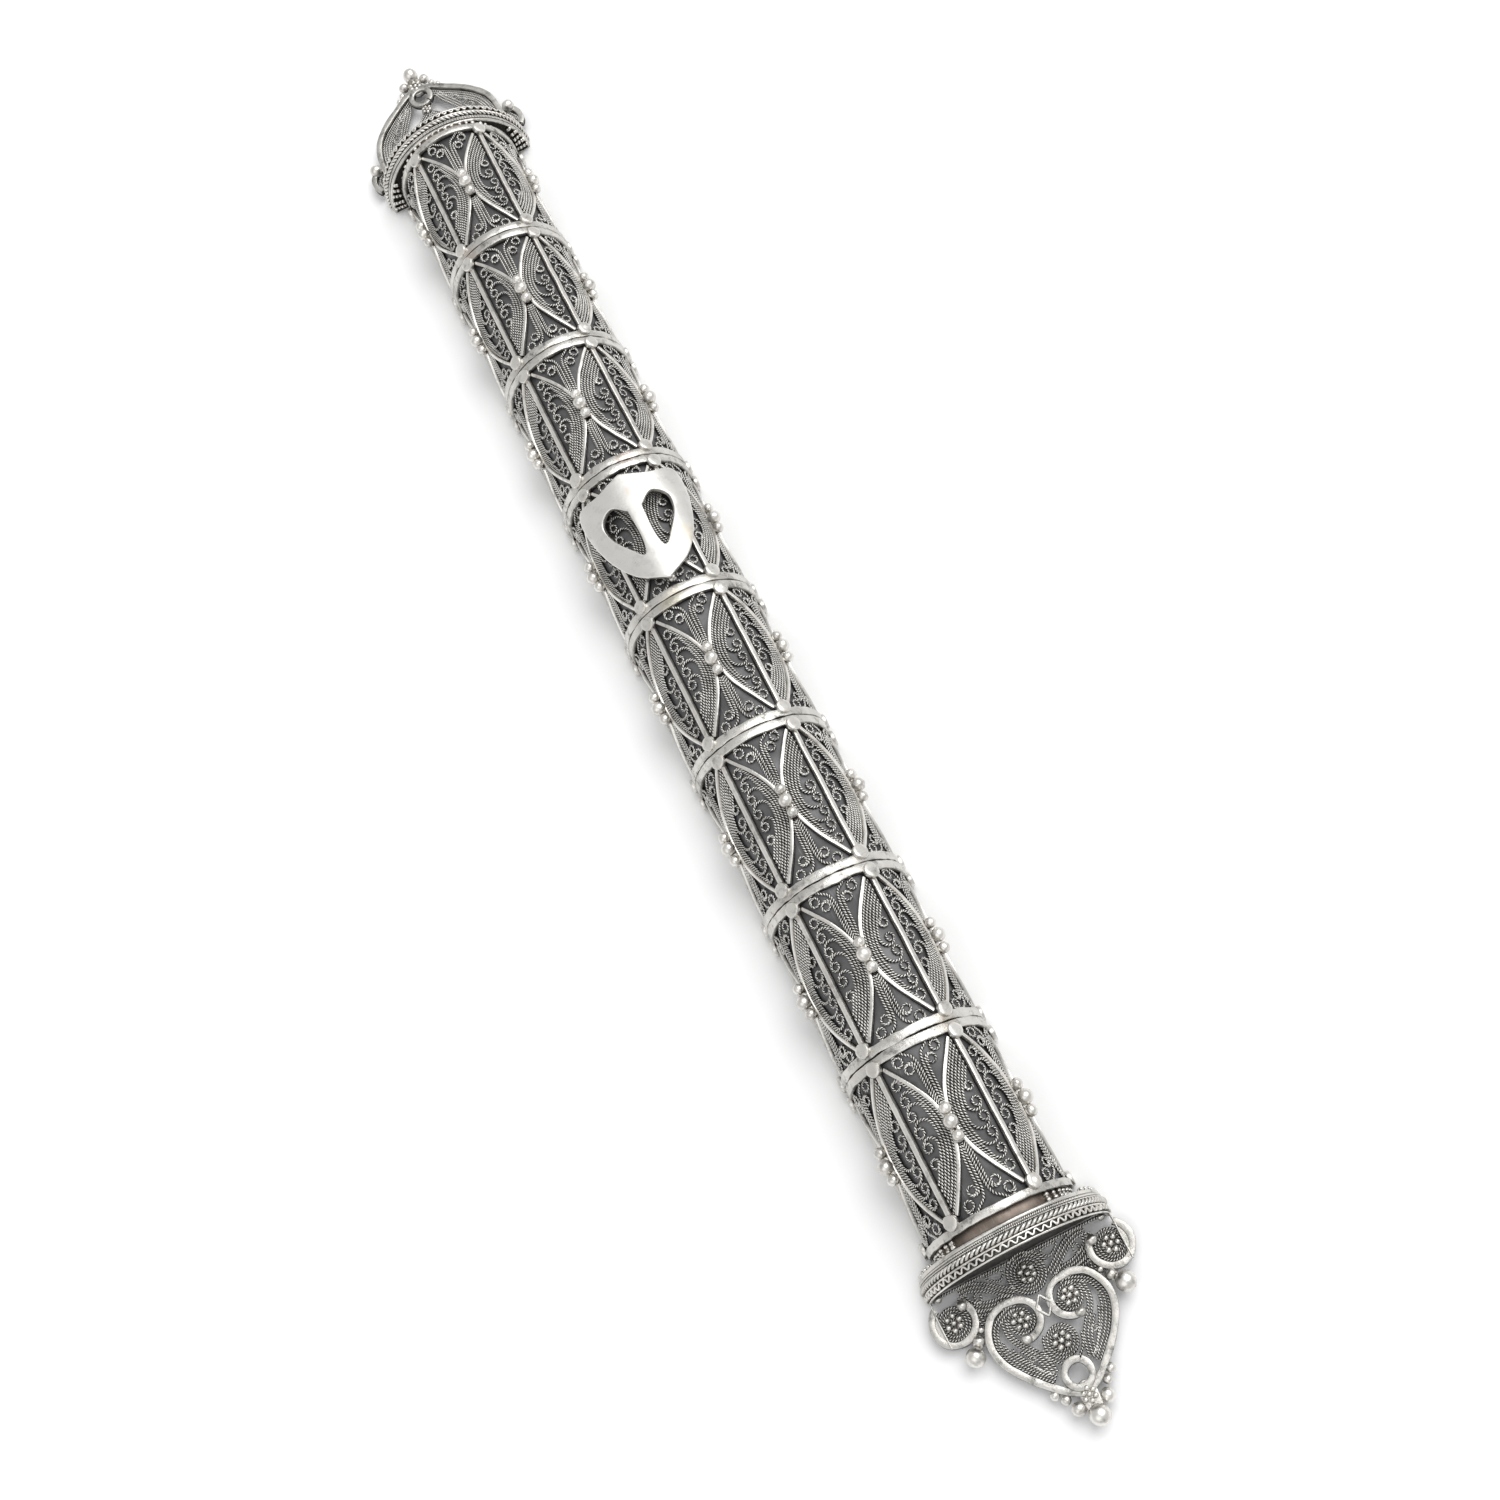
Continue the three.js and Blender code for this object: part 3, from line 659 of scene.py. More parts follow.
# ---------- shield plaque
def flat_plate(name, outlines, low, high, edge, place, grid=0.7):
    """A flat shape with rounded edges, cut fine enough to bend, then placed. Holes are further outlines."""
    shape = bpy.data.curves.new(name, "CURVE")
    shape.dimensions, shape.fill_mode = "2D", "BOTH"
    shape.extrude, shape.bevel_depth, shape.bevel_resolution = (high - low) / 2 - edge, edge, 2
    shape.offset = -edge
    for outline in outlines:
        spline = shape.splines.new("POLY")
        spline.points.add(len(outline) - 1)
        spline.points.foreach_set("co", np.pad(outline, ((0, 0), (0, 2))).astype(np.float32).ravel())
        spline.use_cyclic_u = True
    holder = bpy.data.objects.new(name, shape)
    made = bmesh.new()
    made.from_mesh(bpy.data.meshes.new_from_object(holder))
    bpy.data.objects.remove(holder)
    bpy.data.curves.remove(shape)
    bmesh.ops.remove_doubles(made, verts=made.verts, dist=1e-4)
    outer = np.concatenate(outlines)
    for axis in (0, 1):
        for at in np.arange(outer[:, axis].min() + grid / 2, outer[:, axis].max(), grid):
            point, normal = Vector((0, 0, 0)), Vector((0, 0, 0))
            point[axis], normal[axis] = at, 1
            bmesh.ops.bisect_plane(made, geom=made.verts[:] + made.edges[:] + made.faces[:],
                                   plane_co=point, plane_no=normal)
    mesh = bpy.data.meshes.new(name)
    made.to_mesh(mesh)
    made.free()
    co = np.zeros(len(mesh.vertices) * 3, np.float32)
    mesh.vertices.foreach_get("co", co)
    co = co.reshape(-1, 3)
    rise = co[:, 2] / (high - low) + 0.5
    placed = place(co[:, 0], co[:, 1], (low + high) / 2 + co[:, 2])
    mesh.vertices.foreach_set("co", (placed * MM).astype(np.float32).ravel())
    mesh.attributes.new("polish", "FLOAT", "POINT").data.foreach_set("value", rise.astype(np.float32))
    mesh.shade_smooth()
    mesh.set_sharp_from_angle(angle=radians(50))
    return mesh


def both_sides(half):
    """A closed outline from its right half, which starts and ends on the middle line."""
    return np.vstack([half, (half * [-1, 1])[-2:0:-1]])


PLAQUE_MID = sum(span("shield_plaque", 1)) / 2
PLAQUE_LOW, PLAQUE_HIGH, PLAQUE_EDGE = 10.05, 10.75, 0.16
PLAQUE_LIFT = 0.4  # the shield sits this far above the middle of its section
PLAQUE_HALF = [[0, 8.4], [3.2, 7.2], [6.6, 7.0], [7.0, 3.2], [5.6, -2.4], [3.2, -6.8], [0, -9.2]]
TEARDROP = [[0.9, 2.6], [2.6, 4.2], [4.3, 3.0], [4.1, 0.4], [2.6, -2.6], [1.3, -4.4], [0.8, -2.0]]
LEGS = ((0.1, -8.6), (4.6, 6.9), (-4.9, 6.7), (-5.1, -2.2), (5.2, -2.6))
plaque_silver = silver(
    "plaque_silver", (0.80, 0.785, 0.75), (0.71, 0.70, 0.67), (0.12, 0.11, 0.10), (0.30, 0.42),
    (0.0, 0.35), 2400, bump=0.25, brushed=(0.15, 1, 1), grime=0.2,
    stains=(((3.6, PLAQUE_MID - 3.6, 12.6), 3.0, (0.66, 0.60, 0.47), 0.55),
            ((0.4, PLAQUE_MID + 5.6, 13.3), 1.2, (0.55, 0.44, 0.38), 0.45)))


def on_plaque(x, y, h):
    """Over the case, with both ends bent down a little."""
    return on_case(x, PLAQUE_MID + y, h - 0.006 * (y / 3) ** 2)


def plaque():
    shield = curve(PLAQUE_HALF, 8) + [0, PLAQUE_LIFT]
    tear = curve(TEARDROP + TEARDROP[:1], 8)[:-1] + [0, PLAQUE_LIFT]
    plate = flat_plate("shield_plate", [both_sides(shield), tear, tear * [-1, 1]], PLAQUE_LOW, PLAQUE_HIGH,
                       PLAQUE_EDGE, on_plaque)
    piece("shield_plate", plate, plaque_silver, "shield_plaque")
    legs, rng = Soup(), np.random.default_rng(41)
    for x, y in LEGS:
        for k in range(3):  # each leg is a small heap of solder lumps
            at = spot(x + jitter(rng, 0.3), PLAQUE_MID + y, 9.3 + 0.35 * k)
            ball(legs, at, 0.36 - 0.04 * k, rng, squash=0.2)
    piece("plaque_legs", legs, frame_silver, "shield_plaque")


plaque()


# ---------- end collars
gallery_brown = dark_sheet("gallery_floor", (0.28, 0.23, 0.195), (0.10, 0.08, 0.066), (0.34, 0.5))
ROPE_AT = abs(sum(span("upper_rim_rope", 1))) / 2
RIM_RADIUS = 11.5  # the collar's outer face
FLANGE_OPENING = 8.55  # its inner edge, which follows the case's own section
RIM_PROFILE = np.array([  # distance from the middle of the case, and from the rim's axis
    [89.3, 11.15], [89.2, 11.32], [89.2, 11.5], [89.3, 11.62], [89.50, 11.66], [89.66, 11.58], [89.72, 11.5],
    [92.0, 11.5], [92.12, 11.42], [92.12, 11.05], [89.8, 11.0], [89.75, 8.7], [89.25, 8.7]])
RIM_POLISH = np.array([0.05, 0.5, 1, 1, 1, 0.8, 0.25, 0.2, 0.7, 0.1, 0, 0, 0.0])
POST_ROWS = ((88.35, 8.62, 0.30), (88.95, 8.66, 0.28))  # the posts' granules: distance, height, radius
POST_SPACING = 1.18
PLAIN_GROOVE = 6.4  # half the lower gallery's plain middle
SPOKE_TURN, SPOKE_AT, SPOKE_TIP = 6.0, 89.08, 11.42
SPOKE_GRAIN, SPOKE_GRAIN_STEP = 0.27, 0.52
ZIGZAG_WAVE, ZIGZAG_AT = 1.06, 91.64


def half_turn(steps):
    return np.linspace(-pi / 2, pi / 2, steps)


def half_circle(v, end):
    angle = half_turn(120)
    return np.stack([angle, np.full(len(angle), end * v)], -1)


def rim_inside(a, y):
    """The edge of a flange's opening."""
    u = np.full(len(y), a * R_REF * 1.25).clip(-FOOT_U - 1.4, FOOT_U + 1.4)
    point = on_case(u, y, np.full(len(y), FLANGE_OPENING))
    point[:, 2] = np.maximum(point[:, 2], 0)
    return point


def end_strips(name, end):
    band, floor = Soup(), Soup()
    hoop(band, *sorted((end * 87.1, end * 88.05)), 8.5, 9.32, FOOT_U, uneven=0.04, seed=510 + end)
    piece(f"{name}_end_strip", band, frame_silver, f"{name}_end_band")
    hoop(floor, *sorted((end * 87.95, end * 89.45)), 7.95, 8.42, FOOT_U, uneven=0.02, seed=520 + end)
    piece(f"{name}_gallery_floor", floor, gallery_brown, f"{name}_gallery")


def posts(soup, end, rng):
    """Short bars with granules on them, round the gallery floor."""
    clear = PLAIN_GROOVE if end < 0 else 0.0
    for u in np.arange(-14.4, 14.5, POST_SPACING):
        if abs(u) < clear:
            continue
        at = u + jitter(rng, 0.15)
        for v, h, r in POST_ROWS:
            centre = spot(at, end * (v + jitter(rng, 0.05)), h)
            ball(soup, centre, r * rng.uniform(0.85, 1.15), rng, squash=0.12)
        strip(soup, [[at, end * 88.1], [at, end * 89.3]], 0.3, 8.3, 8.75, on_case, 0.1, 0.2,
              rng.integers(1 << 30), 0.1)


def spokes(soup, end, rng):
    """Bars with granules on a flange's inner face, where there is room for them."""
    for a in np.radians(np.arange(-84, 84.1, SPOKE_TURN)):
        start = hypot(*rim_inside(a, np.zeros(1))[0][[0, 2]]) + 0.9
        if 11.3 - start < 0.35:
            continue
        at = a + jitter(rng, 0.012)
        x, z = sin(at), cos(at)
        spoke = np.linspace(start, SPOKE_TIP, 4)
        points = np.stack([spoke * x, np.full(4, end * SPOKE_AT), spoke * z], -1)
        for k in range(int((11.4 - start) / SPOKE_GRAIN_STEP) + 1):
            r = min(11.25, start + 0.25 + SPOKE_GRAIN_STEP * k)
            place = (r * x, end * (SPOKE_AT - 0.06), r * z)
            ball(soup, place, SPOKE_GRAIN * rng.uniform(0.85, 1.15), rng, squash=0.14)
        corners = np.array([[z, 0, -x], [0, end, 0], [-z, 0, x], [0, -end, 0]])
        skin(soup, points[:, None] + 0.17 * corners[None], 0.7)


def gallery(name, end, rng):
    made = Soup()
    posts(made, end, rng)
    spokes(made, end, rng)
    piece(f"{name}_gallery_posts", made, bright_silver, f"{name}_gallery")


def rim_band(name, end):
    profile, polish = RIM_PROFILE[::-end], RIM_POLISH[::-end]  # so that both ends face outwards
    inner = profile[:, 1] < 9
    rings = []
    for a in half_turn(90):
        ring = on_rim(np.full(len(profile), a), end * profile[:, 0], profile[:, 1])
        ring[inner] = rim_inside(a, end * profile[inner, 0])
        rings.append(ring)
    rim = Soup()
    skin(rim, np.array(rings), polish)
    piece(f"{name}_rim_band", rim, frame_silver, f"{name}_rim", sharp=40)


def rim_wires(name, end, rng):
    """Two thin cords, two plain wires and the thick rope round a collar."""
    wires = Soup()
    for v, gauge in ((89.86, 0.30), (90.14, 0.26)):
        twisted(wires, half_circle(v, end), RIM_RADIUS + 0.42 * gauge, on_rim, gauge, 0.52,
                phase=rng.uniform(0, TAU), steps=8)
    for v, radius, h in ((91.16, 0.17, 11.62), (92.12, 0.14, 11.55)):
        round_wire(wires, half_circle(v, end), radius, h, on_rim, 0.35)
    twisted(wires, half_circle(ROPE_AT - 0.05, end), 11.78, on_rim, 0.72, 1.42, hand=-end,
            phase=rng.uniform(0, TAU), steps=16, corners=8, flat=0.85)
    piece(f"{name}_rope_wires", wires, bright_silver, f"{name}_rim_rope", sharp=0)


def zigzag(name, end, rng):
    a = half_turn(900)
    wave = np.sin(TAU * a * 11.8 / ZIGZAG_WAVE + 0.5 * np.sin(3 * a))
    shaped = np.sign(wave) * np.abs(wave) ** 0.8
    wire = Soup()
    strip(wire, np.stack([a, end * (ZIGZAG_AT + 0.23 * shaped)], -1), 0.21, 11.45, 11.98, on_rim, 0.06, 0.09,
          rng.integers(1 << 30), 0.04)
    piece(f"{name}_zigzag_wire", wire, bright_silver, f"{name}_rim_zigzag", sharp=0)


def end_wall(name, end):
    """A half disc from the CAD's own box, with a rounded edge."""
    low_z, radius = span(f"{name}_end_wall", 2)
    near, far = sorted(abs(v) for v in span(f"{name}_end_wall", 1))
    foot = asin(min(1, low_z / radius))
    a = np.linspace(foot, pi - foot, 65)
    outline = np.stack([radius * np.cos(a), radius * np.sin(a)], -1)
    layers = ((near, 0.6), (near, 1.0), (near + 0.1, 1.005), (far - 0.12, 1.005), (far, 0.985), (far, 0.6))
    rings = [np.stack([outline[:, 0] * k, np.full(len(a), end * v), np.maximum(outline[:, 1] * k, low_z)], -1)
             for v, k in layers]
    wall = Soup()
    skin(wall, np.array(rings[::end]), 0.6)
    piece(f"{name}_wall_plate", wall, wall_dark, f"{name}_end_wall")


def collar(name, end):
    rng = np.random.default_rng(500 + end)
    end_strips(name, end)
    gallery(name, end, rng)
    rim_band(name, end)
    rim_wires(name, end, rng)
    zigzag(name, end, rng)
    end_wall(name, end)


for name, end in (("lower", -1), ("upper", 1)):
    collar(name, end)


# ---------- finials, drawn at the +Y end and mirrored to their own
SHEET_H = 1.42  # the middle of the finials' twisted wires
FINE, FINE_LAY = 0.41, 0.70
TIGHT = (-0.42, 0, 0.42)  # three strands side by side
FRAME_LOW, FRAME_HIGH = 1.15, 2.05
FRAME_WIDTH, LOBE_WIDTH = 0.84, 0.80
STEM_HIGH = 1.95
WASHER_INNER, WASHER_OUTER = 1.12, 1.98
WASHER_LOW, WASHER_HIGH = 1.45, 2.3
LOWER_NAIL, UPPER_NAIL = 106.1, 106.3
SCROLL = (3.1, 98.25)  # the middles of the lower heart's scrolls and of the lobes
LOWER_LOBE, UPPER_LOBE = (10.03, 95.26), (9.9, 94.4)
HEART = [[4.3, 95.85], [6.0, 96.6], [7.1, 98.2], [7.5, 99.9], [7.0, 101.8], [5.6, 103.9], [3.7, 105.9],
         [2.1, 107.3], [0.35, 108.2]]
DIAMOND = [[0, 96.75], [0.95, 98.0], [0, 99.25], [-0.95, 98.0]]
LOWER_STEM = [[0, 106.9], [1.1, 107.3], [1.1, 108.6], [1.05, 109.8], [0.6, 110.8], [0, 111.0]]
UPPER_STEM = [[0, 107.1], [1.1, 107.5], [1.1, 108.8], [1.05, 109.9], [0.6, 110.7], [0, 110.9]]
# Granules: place across and along, and radius.
LOWER_TIP = ((0, 111.0, 1.2), (1.8, 109.5, 0.84), (2.6, 108.05, 0.58), (3.5, 107.1, 0.56))
UPPER_TIP = ((0, 110.95, 1.2), (1.75, 109.7, 0.74), (2.55, 108.55, 0.5), (3.4, 107.8, 0.44))
LOBE_BEADS = ((8.3, 94.0, 0.64, 1.6), (7.6, 97.25, 0.42, 1.35), (8.45, 98.3, 0.74, 1.05),
              (9.5, 99.7, 1.18, 1.05), (10.45, 92.2, 0.44, 1.5))  # with the height of the underside
OGEE = [[10.0, 92.2], [10.1, 96.0], [9.95, 98.8], [9.3, 101.2], [8.0, 103.1], [6.2, 104.8], [4.2, 106.3],
        [2.3, 107.6], [0.35, 108.4]]


def to_end(path, end, side=1):
    return np.asarray(path, float) * [side, end]


def flat_wire(soup, path, end, side=1, rng=None, gauge=FINE, lay_length=FINE_LAY, lift=0.0):
    """One twisted wire of a finial. With rng its twist starts anywhere."""
    phase = rng.uniform(0, TAU) if rng is not None else 0.0
    twisted(soup, to_end(path, end, side), SHEET_H + lift, on_plate, gauge, lay_length, phase=phase)


def coil(soup, x, v, inner, outer, end, side=1, start=0.0, hand=1, rng=None):
    turns = (outer - inner) / (FINE + 0.01)
    t = np.linspace(0, TAU * turns, int(40 * turns) + 8)
    r = inner + (FINE + 0.01) * t / TAU
    a = radians(start) + hand * t
    flat_wire(soup, np.stack([x + r * np.cos(a), v + r * np.sin(a)], -1), end, side, rng)


def bundle(soup, path, offsets, end, side, rng):
    """Parallel wires at the given distances to the left of a path."""
    path = np.asarray(path, float)
    along = np.gradient(path, axis=0)
    along /= np.linalg.norm(along, axis=1, keepdims=True)
    left = np.stack([-along[:, 1], along[:, 0]], -1)
    for offset in offsets:
        flat_wire(soup, path + offset * left, end, side, rng)


def flower(soup, x, v, end, rng, ring=0.82, radius=0.35, base=1.62, turn=30):
    """A granule with six round it."""
    angles = [radians(turn + 60 * k) for k in range(6)]
    for dx, dv in [(0, 0)] + [(ring * cos(a), ring * sin(a)) for a in angles]:
        at = (x + dx + jitter(rng, 0.04), end * (v + dv + jitter(rng, 0.04)), base + 0.75 * radius)
        ball(soup, at, radius * rng.uniform(0.94, 1.06), rng, squash=0.06)


def plate_ball(soup, x, v, radius, end, rng, base=1.05):
    ball(soup, (x, end * v, base + radius), radius, rng, fine=4, squash=0.05)


def tip_granules(soup, granules, end, rng):
    for x, v, radius in granules:
        for side in ((-1, 1) if x else (1,)):
            plate_ball(soup, side * x, v, radius, end, rng)


def frame_wire(soup, path, end, side, seed, width=FRAME_WIDTH):
    """The heavy flat wire that edges a finial."""
    strip(soup, to_end(path, end, side), width, FRAME_LOW, FRAME_HIGH, on_plate, 0.08, 0.30, seed, 0.035)


def stem_plate(name, half, end):
    outline = to_end(both_sides(curve(half, 6)), end)[::-end]  # wound the same way at both ends
    stem = flat_plate(f"{name}_stem", [outline], FRAME_LOW, STEM_HIGH, 0.12, on_plate)
    piece(f"{name}_stem_plate", stem, finial_silver, f"{name}_tip_beads")


def nail_ring(name, v, end):
    """A bent strip with a gap, soldered down round the nail hole."""
    ring = Soup()
    path = arc(0, v, (WASHER_INNER + WASHER_OUTER) / 2, -52, 303, 60)
    strip(ring, to_end(path, end), WASHER_OUTER - WASHER_INNER, WASHER_LOW, WASHER_HIGH, on_plate, 0.13, 0.25,
          71, 0.03, crown=0.03)
    piece(f"{name}_nail_washer", ring, finial_silver, f"{name}_nail_ring")


def lower_heart(beads, rng):
    frames, end = Soup(), -1
    half = np.vstack([arc(*SCROLL, 2.25, 80, 258, 40), curve(HEART, 12)])
    for side in (-1, 1):
        frame_wire(frames, half, end, side, 620 + side)
        plate_ball(beads, side * 3.4, 100.4, 0.64, end, rng, base=1.5)
    corners = np.array(DIAMOND)
    loop = np.vstack([np.linspace(a, b, 8, endpoint=False) for a, b in zip(corners, np.roll(corners, -1, 0))])
    strip(frames, to_end(np.vstack([loop, loop[:1]]), end), 0.26, 1.6, 2.3, on_plate, 0.06, 0.12, 66, 0.02,
          closed=True)
    piece("lower_heart_wires", frames, finial_silver, "lower_heart_frame")


def lower_coils(strands, grains, rng):
    end = -1
    for side in (1, -1):
        coil(strands, *SCROLL, 0.22, 1.62, end, side, start=60, rng=rng)
        flower(grains, side * SCROLL[0], SCROLL[1], end, rng, turn=10)
    for v, outer, start, turn in ((94.0, 2.5, 200, 30), (102.15, 2.05, 90, 0)):
        coil(strands, 0, v, 0.22, outer, end, start=start, rng=rng)
        flower(grains, 0, v, end, rng, turn=turn)


def lower_bands(strands, side, rng):
    end = -1
    inner_edge = curve([[3.4, 96.55], [4.6, 96.9], [5.9, 97.7], [6.55, 99.0], [6.7, 100.2], [6.2, 101.6],
                        [5.0, 103.4], [3.6, 104.9], [2.7, 105.8]], 10)
    by_coil = curve([[5.1, 97.4], [5.3, 98.9], [4.85, 100.3], [3.85, 101.6], [2.95, 102.9], [2.55, 104.2],
                     [2.4, 105.0]], 10)
    between = curve([[5.5, 100.6], [5.15, 101.5], [4.5, 102.6], [3.7, 103.8], [3.05, 104.9]], 10)
    for path, offsets in ((inner_edge, (0.22, -0.20)), (inner_edge[34:], (0.64,)), (by_coil, (0.0, 0.42)),
                          (by_coil[25:], (-0.42,)), (between, (0.0,))):
        bundle(strands, path, offsets, end, side, rng)
    flat_wire(strands, eyelet((3.85, 102.55), 0.3, 0.5, 310, 1), end, side, rng, 0.27, 0.5, lift=0.03)

    # leafy scrolls between the middle coil and the lobes
    for path in ([[2.3, 95.2], [3.4, 94.5], [4.6, 93.6], [5.7, 92.9], [6.9, 92.5], [8.1, 92.5]],
                 [[8.0, 92.9], [7.7, 94.0], [6.6, 94.85], [5.2, 95.35], [3.8, 95.5], [2.6, 96.3]]):
        bundle(strands, curve(path, 8), TIGHT, end, side, rng)
    tear_loop = curve([[2.5, 92.35], [3.5, 92.2], [4.5, 92.35], [3.9, 93.05], [3.1, 93.35], [2.55, 92.9],
                       [2.5, 92.35]], 6)
    for path in (tear_loop, eyelet((6.3, 93.8), 0.36, 0.8, 30, 1, 400)):
        flat_wire(strands, path, end, side, gauge=0.36, lay_length=0.66)
    flat_wire(strands, [[0.5, 91.95], [4, 91.95], [8, 91.95], [11.4, 91.95]], end, side)

    # strands that fill what is left round the scrolls
    for path, offsets in (
            ([[3.0, 95.9], [4.4, 95.75], [5.8, 95.55], [7.0, 95.2], [7.6, 94.4]], (0.1, 0.52)),
            ([[7.2, 97.9], [7.0, 97.0], [7.15, 96.2], [7.3, 95.4]], (-0.2, 0.22)),
            ([[0.9, 104.6], [1.7, 103.9], [2.2, 103.1], [2.45, 102.2]], (0.0,))):
        bundle(strands, curve(path, 8), offsets, end, side, rng)


def lower_lobe(beads, side, label, rng):
    lobe, end = Soup(), -1
    frame_wire(lobe, arc(*LOWER_LOBE, 2.5, 213, -58, 60), end, side, 640 + side, LOBE_WIDTH)
    for x, v, radius, base in LOBE_BEADS:
        plate_ball(beads, side * x, v, radius, end, rng, base)
    strip(lobe, to_end([[11.5, 92.3], [11.55, 95.0], [11.5, 97.75]], end, side), 0.2, 1.3, 2.2, on_plate,
          0.05, 0.3, 650 + side, 0.04)
    crescent = np.vstack([arc(*LOWER_LOBE, 2.85, 55, -58, 30), [[11.45, 93.0], [11.45, 97.6]]])
    sheet = flat_plate("crescent", [to_end(crescent, end, side)], FRAME_LOW, 1.75, 0.08, on_plate)
    piece(f"lower_lobe_frame_{label}", lobe, finial_silver, f"lower_lobe_{label}")
    piece(f"lower_lobe_sheet_{label}", sheet, finial_silver, f"lower_lobe_{label}")


def finial_lower():
    end, rng = -1, np.random.default_rng(61)
    strands, grains, beads = Soup(), Soup(), Soup()
    lower_heart(beads, rng)
    stem_plate("lower", LOWER_STEM, end)
    lower_coils(strands, grains, rng)
    for side in (-1, 1):
        lower_bands(strands, side, rng)
        coil(strands, *LOWER_LOBE, 0.22, 2.05, end, side, start=120, hand=-1, rng=rng)
        flower(grains, side * LOWER_LOBE[0], LOWER_LOBE[1], end, rng, turn=15 * side)
    piece("lower_finial_filigree", strands, finial_wire, "lower_finial_sheet", sharp=0)
    flower(grains, 0, 108.6, end, rng, ring=0.70, radius=0.31, base=1.98)
    piece("lower_finial_granules", grains, bright_silver, "lower_finial_sheet")
    for side, label in ((-1, "left"), (1, "right")):
        lower_lobe(beads, side, label, rng)
    tip_granules(beads, LOWER_TIP, end, rng)
    piece("lower_tip_granules", beads, bright_silver, "lower_tip_beads")
    nail_ring("lower", LOWER_NAIL, end)


def upper_bands(strands, side, rng):
    end, half = 1, curve(OGEE, 12)
    inner = curve([[7.1, 92.2], [7.0, 95.2], [6.4, 98.2], [5.4, 100.8], [4.2, 103.0], [3.1, 104.8],
                   [2.6, 106.0]], 12)
    for path, offsets in ((half[:86], (0.62, 1.03, 1.44)), (half[:60], (1.78,)), (inner, (0.41, 0, -0.41))):
        bundle(strands, path, offsets, end, side, rng)
    leaf = ((8.05, 94.6), (7.9, 96.3), (7.6, 97.9), (7.1, 99.5), (6.4, 101.0), (5.6, 102.4), (4.75, 103.7),
            (4.0, 104.8))
    for k, centre in enumerate(leaf):
        hook = eyelet(centre, 0.42, 0.75, 250 + 4 * k, 1)
        flat_wire(strands, hook, end, side, rng, 0.27, 0.5, lift=0.08)
    scroll = curve([[0.5, 102.9], [1.8, 101.5], [2.8, 99.9], [3.2, 98.0], [3.1, 95.6], [3.9, 92.2]], 10)
    bundle(strands, scroll, TIGHT, end, side, rng)
    for centre in ((4.85, 93.9), (4.55, 95.7), (4.5, 97.5), (4.3, 99.2), (3.75, 100.8)):
        flat_wire(strands, eyelet(centre, 0.5, 1.0, 200, -1), end, side, rng, 0.36, 0.6)


def finial_upper():
    end, rng = 1, np.random.default_rng(63)
    frames, strands, grains, beads = Soup(), Soup(), Soup(), Soup()
    for side in (-1, 1):
        frame_wire(frames, curve(OGEE, 12), end, side, 720 + side)
        upper_bands(strands, side, rng)
        coil(strands, 0.95, 94.0, 0.25, 1.5, end, side, start=200, rng=rng)
        coil(strands, *UPPER_LOBE, 1.3, 2.1, end, side, start=-60, rng=rng)
        flat_wire(strands, [[0.2, 92.0], [5, 92.0], [9.6, 92.0]], end, side)
    coil(strands, 0, 97.9, 0.22, 2.5, end, start=30, rng=rng)
    flower(grains, 0, 97.9, end, rng)
    flower(grains, 0, 103.75, end, rng, ring=0.56, radius=0.27, base=1.6)
    flower(grains, 0, 108.75, end, rng, ring=0.70, radius=0.31, base=1.95)
    flat_wire(strands, [[0, 100.3], [0, 102.0], [0, 104.6]], end)
    coil(strands, 0, 103.75, 0.2, 0.95, end, start=30, rng=rng)
    piece("upper_ogee_wires", frames, finial_silver, "upper_ogee_frame")
    piece("upper_finial_filigree", strands, finial_wire, "upper_finial_sheet", sharp=0)
    piece("upper_finial_granules", grains, bright_silver, "upper_finial_sheet")
    stem_plate("upper", UPPER_STEM, end)
    tip_granules(beads, UPPER_TIP, end, rng)
    for side, label in ((-1, "left"), (1, "right")):
        lobe = Soup()
        frame_wire(lobe, arc(*UPPER_LOBE, 2.6, -42, 64, 40), end, side, 740 + side, LOBE_WIDTH)
        piece(f"upper_lobe_frame_{label}", lobe, finial_silver, f"upper_lobe_{label}")
        plate_ball(beads, side * 11.4, 96.7, 0.95, end, rng)
    piece("upper_tip_granules", beads, bright_silver, "upper_tip_beads")
    nail_ring("upper", UPPER_NAIL, end)


finial_lower()
finial_upper()


# ---------- stage
FLOOR_REACH, FLOOR_TONE = 9, 0.93
WORLD_STRENGTH = 0.68
LAMPS = (("key", (0.52, 0.27, 1.06), 1.05, 10.0),  # name, place, size, power
         ("fill", (-0.6, -0.5, 1.0), 1.0, 2.5))
CAMERA_AT = (-0.00458, -0.12194, 0.22781)
CAMERA_TURN = (22.2933, 9.9836, -25.0081)  # degrees about X, Y and Z
FOCAL_LENGTH, SENSOR = 45.709, 36.0  # millimetres


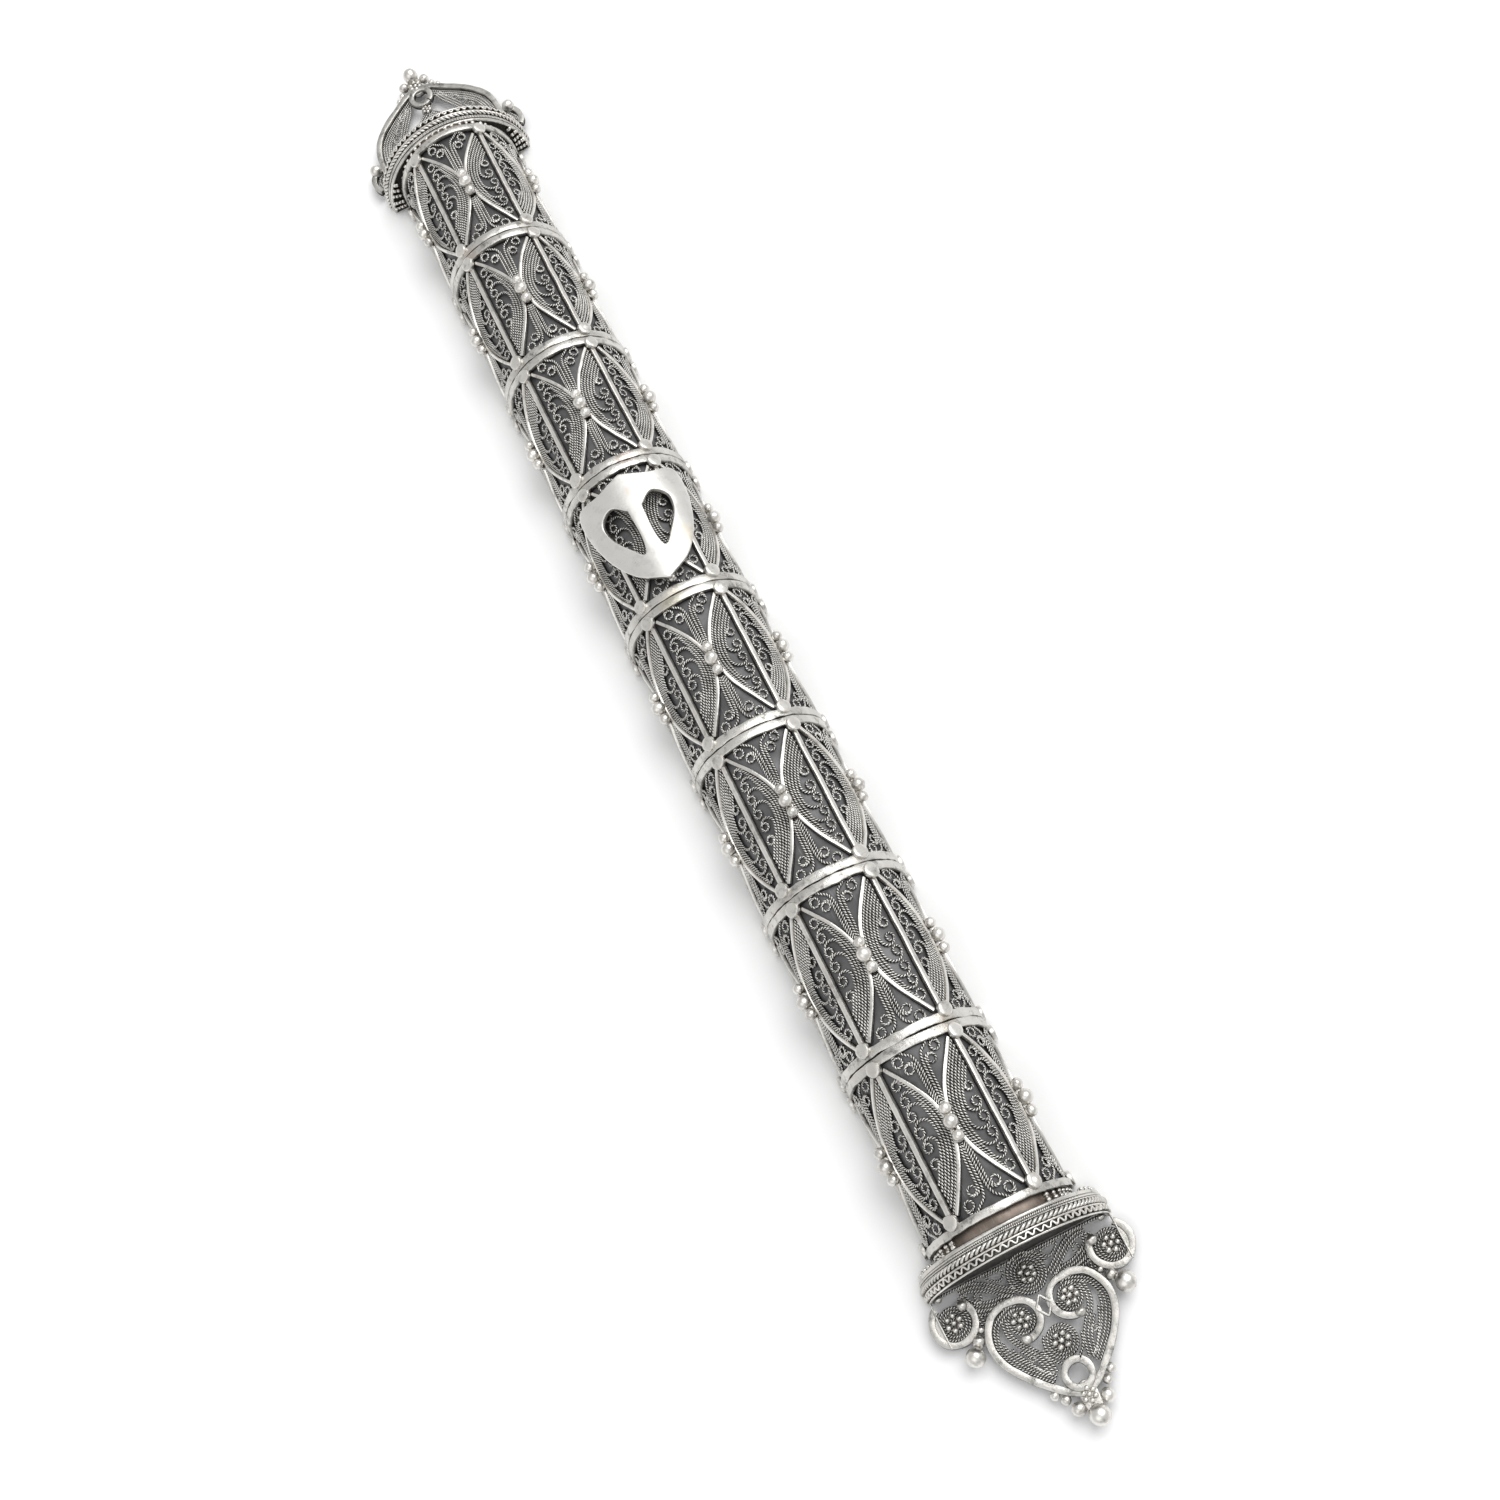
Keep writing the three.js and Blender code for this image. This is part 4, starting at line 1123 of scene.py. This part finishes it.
def floor():
    mesh = bpy.data.meshes.new("floor")
    mesh.from_pydata([(x * FLOOR_REACH, y * FLOOR_REACH, 0) for x, y in ((-1, -1), (1, -1), (1, 1), (-1, 1))],
                     [], [(0, 1, 2, 3)])
    made = bpy.data.objects.new("floor", mesh)
    link(made)
    material, _, shader = tree_of("pale_floor")
    shader.inputs["Base Color"].default_value = (FLOOR_TONE, FLOOR_TONE, FLOOR_TONE, 1)
    shader.inputs["Roughness"].default_value = 0.9
    shader.inputs["Specular IOR Level"].default_value = 0.0
    mesh.materials.append(material)
    made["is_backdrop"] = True


def lights():
    world = bpy.data.worlds.new("studio")
    scene.world = world
    world.use_nodes = True
    background = world.node_tree.nodes["Background"]
    background.inputs["Color"].default_value = (1.0, 1.0, 1.0, 1)
    background.inputs["Strength"].default_value = WORLD_STRENGTH
    for name, place, size, power in LAMPS:
        light = bpy.data.lights.new(name, "AREA")
        light.size, light.energy = size, power
        lamp = bpy.data.objects.new(name, light)
        lamp.location = place
        lamp.rotation_mode = "QUATERNION"
        lamp.rotation_quaternion = (-Vector(place)).to_track_quat("-Z", "Y")
        link(lamp)


def view():
    camera = bpy.data.cameras.new("camera")
    camera.lens, camera.sensor_width = FOCAL_LENGTH, SENSOR
    camera.clip_start, camera.clip_end = 0.01, 10
    eye = bpy.data.objects.new("camera", camera)
    eye.location = CAMERA_AT
    eye.rotation_euler = [radians(angle) for angle in CAMERA_TURN]
    link(eye)
    scene.camera = eye
    scene.view_settings.view_transform = "Standard"


# ---------- parts shown as the frame has them
panel_silver = silver(
    "back_panel_silver", (0.62, 0.61, 0.58), (0.44, 0.43, 0.40), (0.10, 0.095, 0.09), (0.34, 0.52),
    (0.0, 0.5), 2000, bump=0.5, brushed=(1, 0.08, 1), grime=0.7, carried=True)
rail_silver = silver(
    "rail_silver", (0.34, 0.335, 0.33), (0.20, 0.195, 0.19), (0.06, 0.058, 0.055), (0.36, 0.56),
    (0.0, 0.5), 2600, bump=0.5, brushed=(1, 0.08, 1), grime=0.8, carried=True)
WORN_EDGE = 0.06

for name, finish in (("back_panel", panel_silver), ("rail_left", rail_silver), ("rail_right", rail_silver)):
    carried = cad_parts[name]
    carried.data.materials.clear()
    carried.data.materials.append(finish)
    round_off = carried.modifiers.new("worn_edges", "BEVEL")
    round_off.width, round_off.segments, round_off.limit_method = WORN_EDGE * MM, 2, "ANGLE"
    round_off.angle_limit = radians(40)

floor()
lights()
view()

low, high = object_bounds()
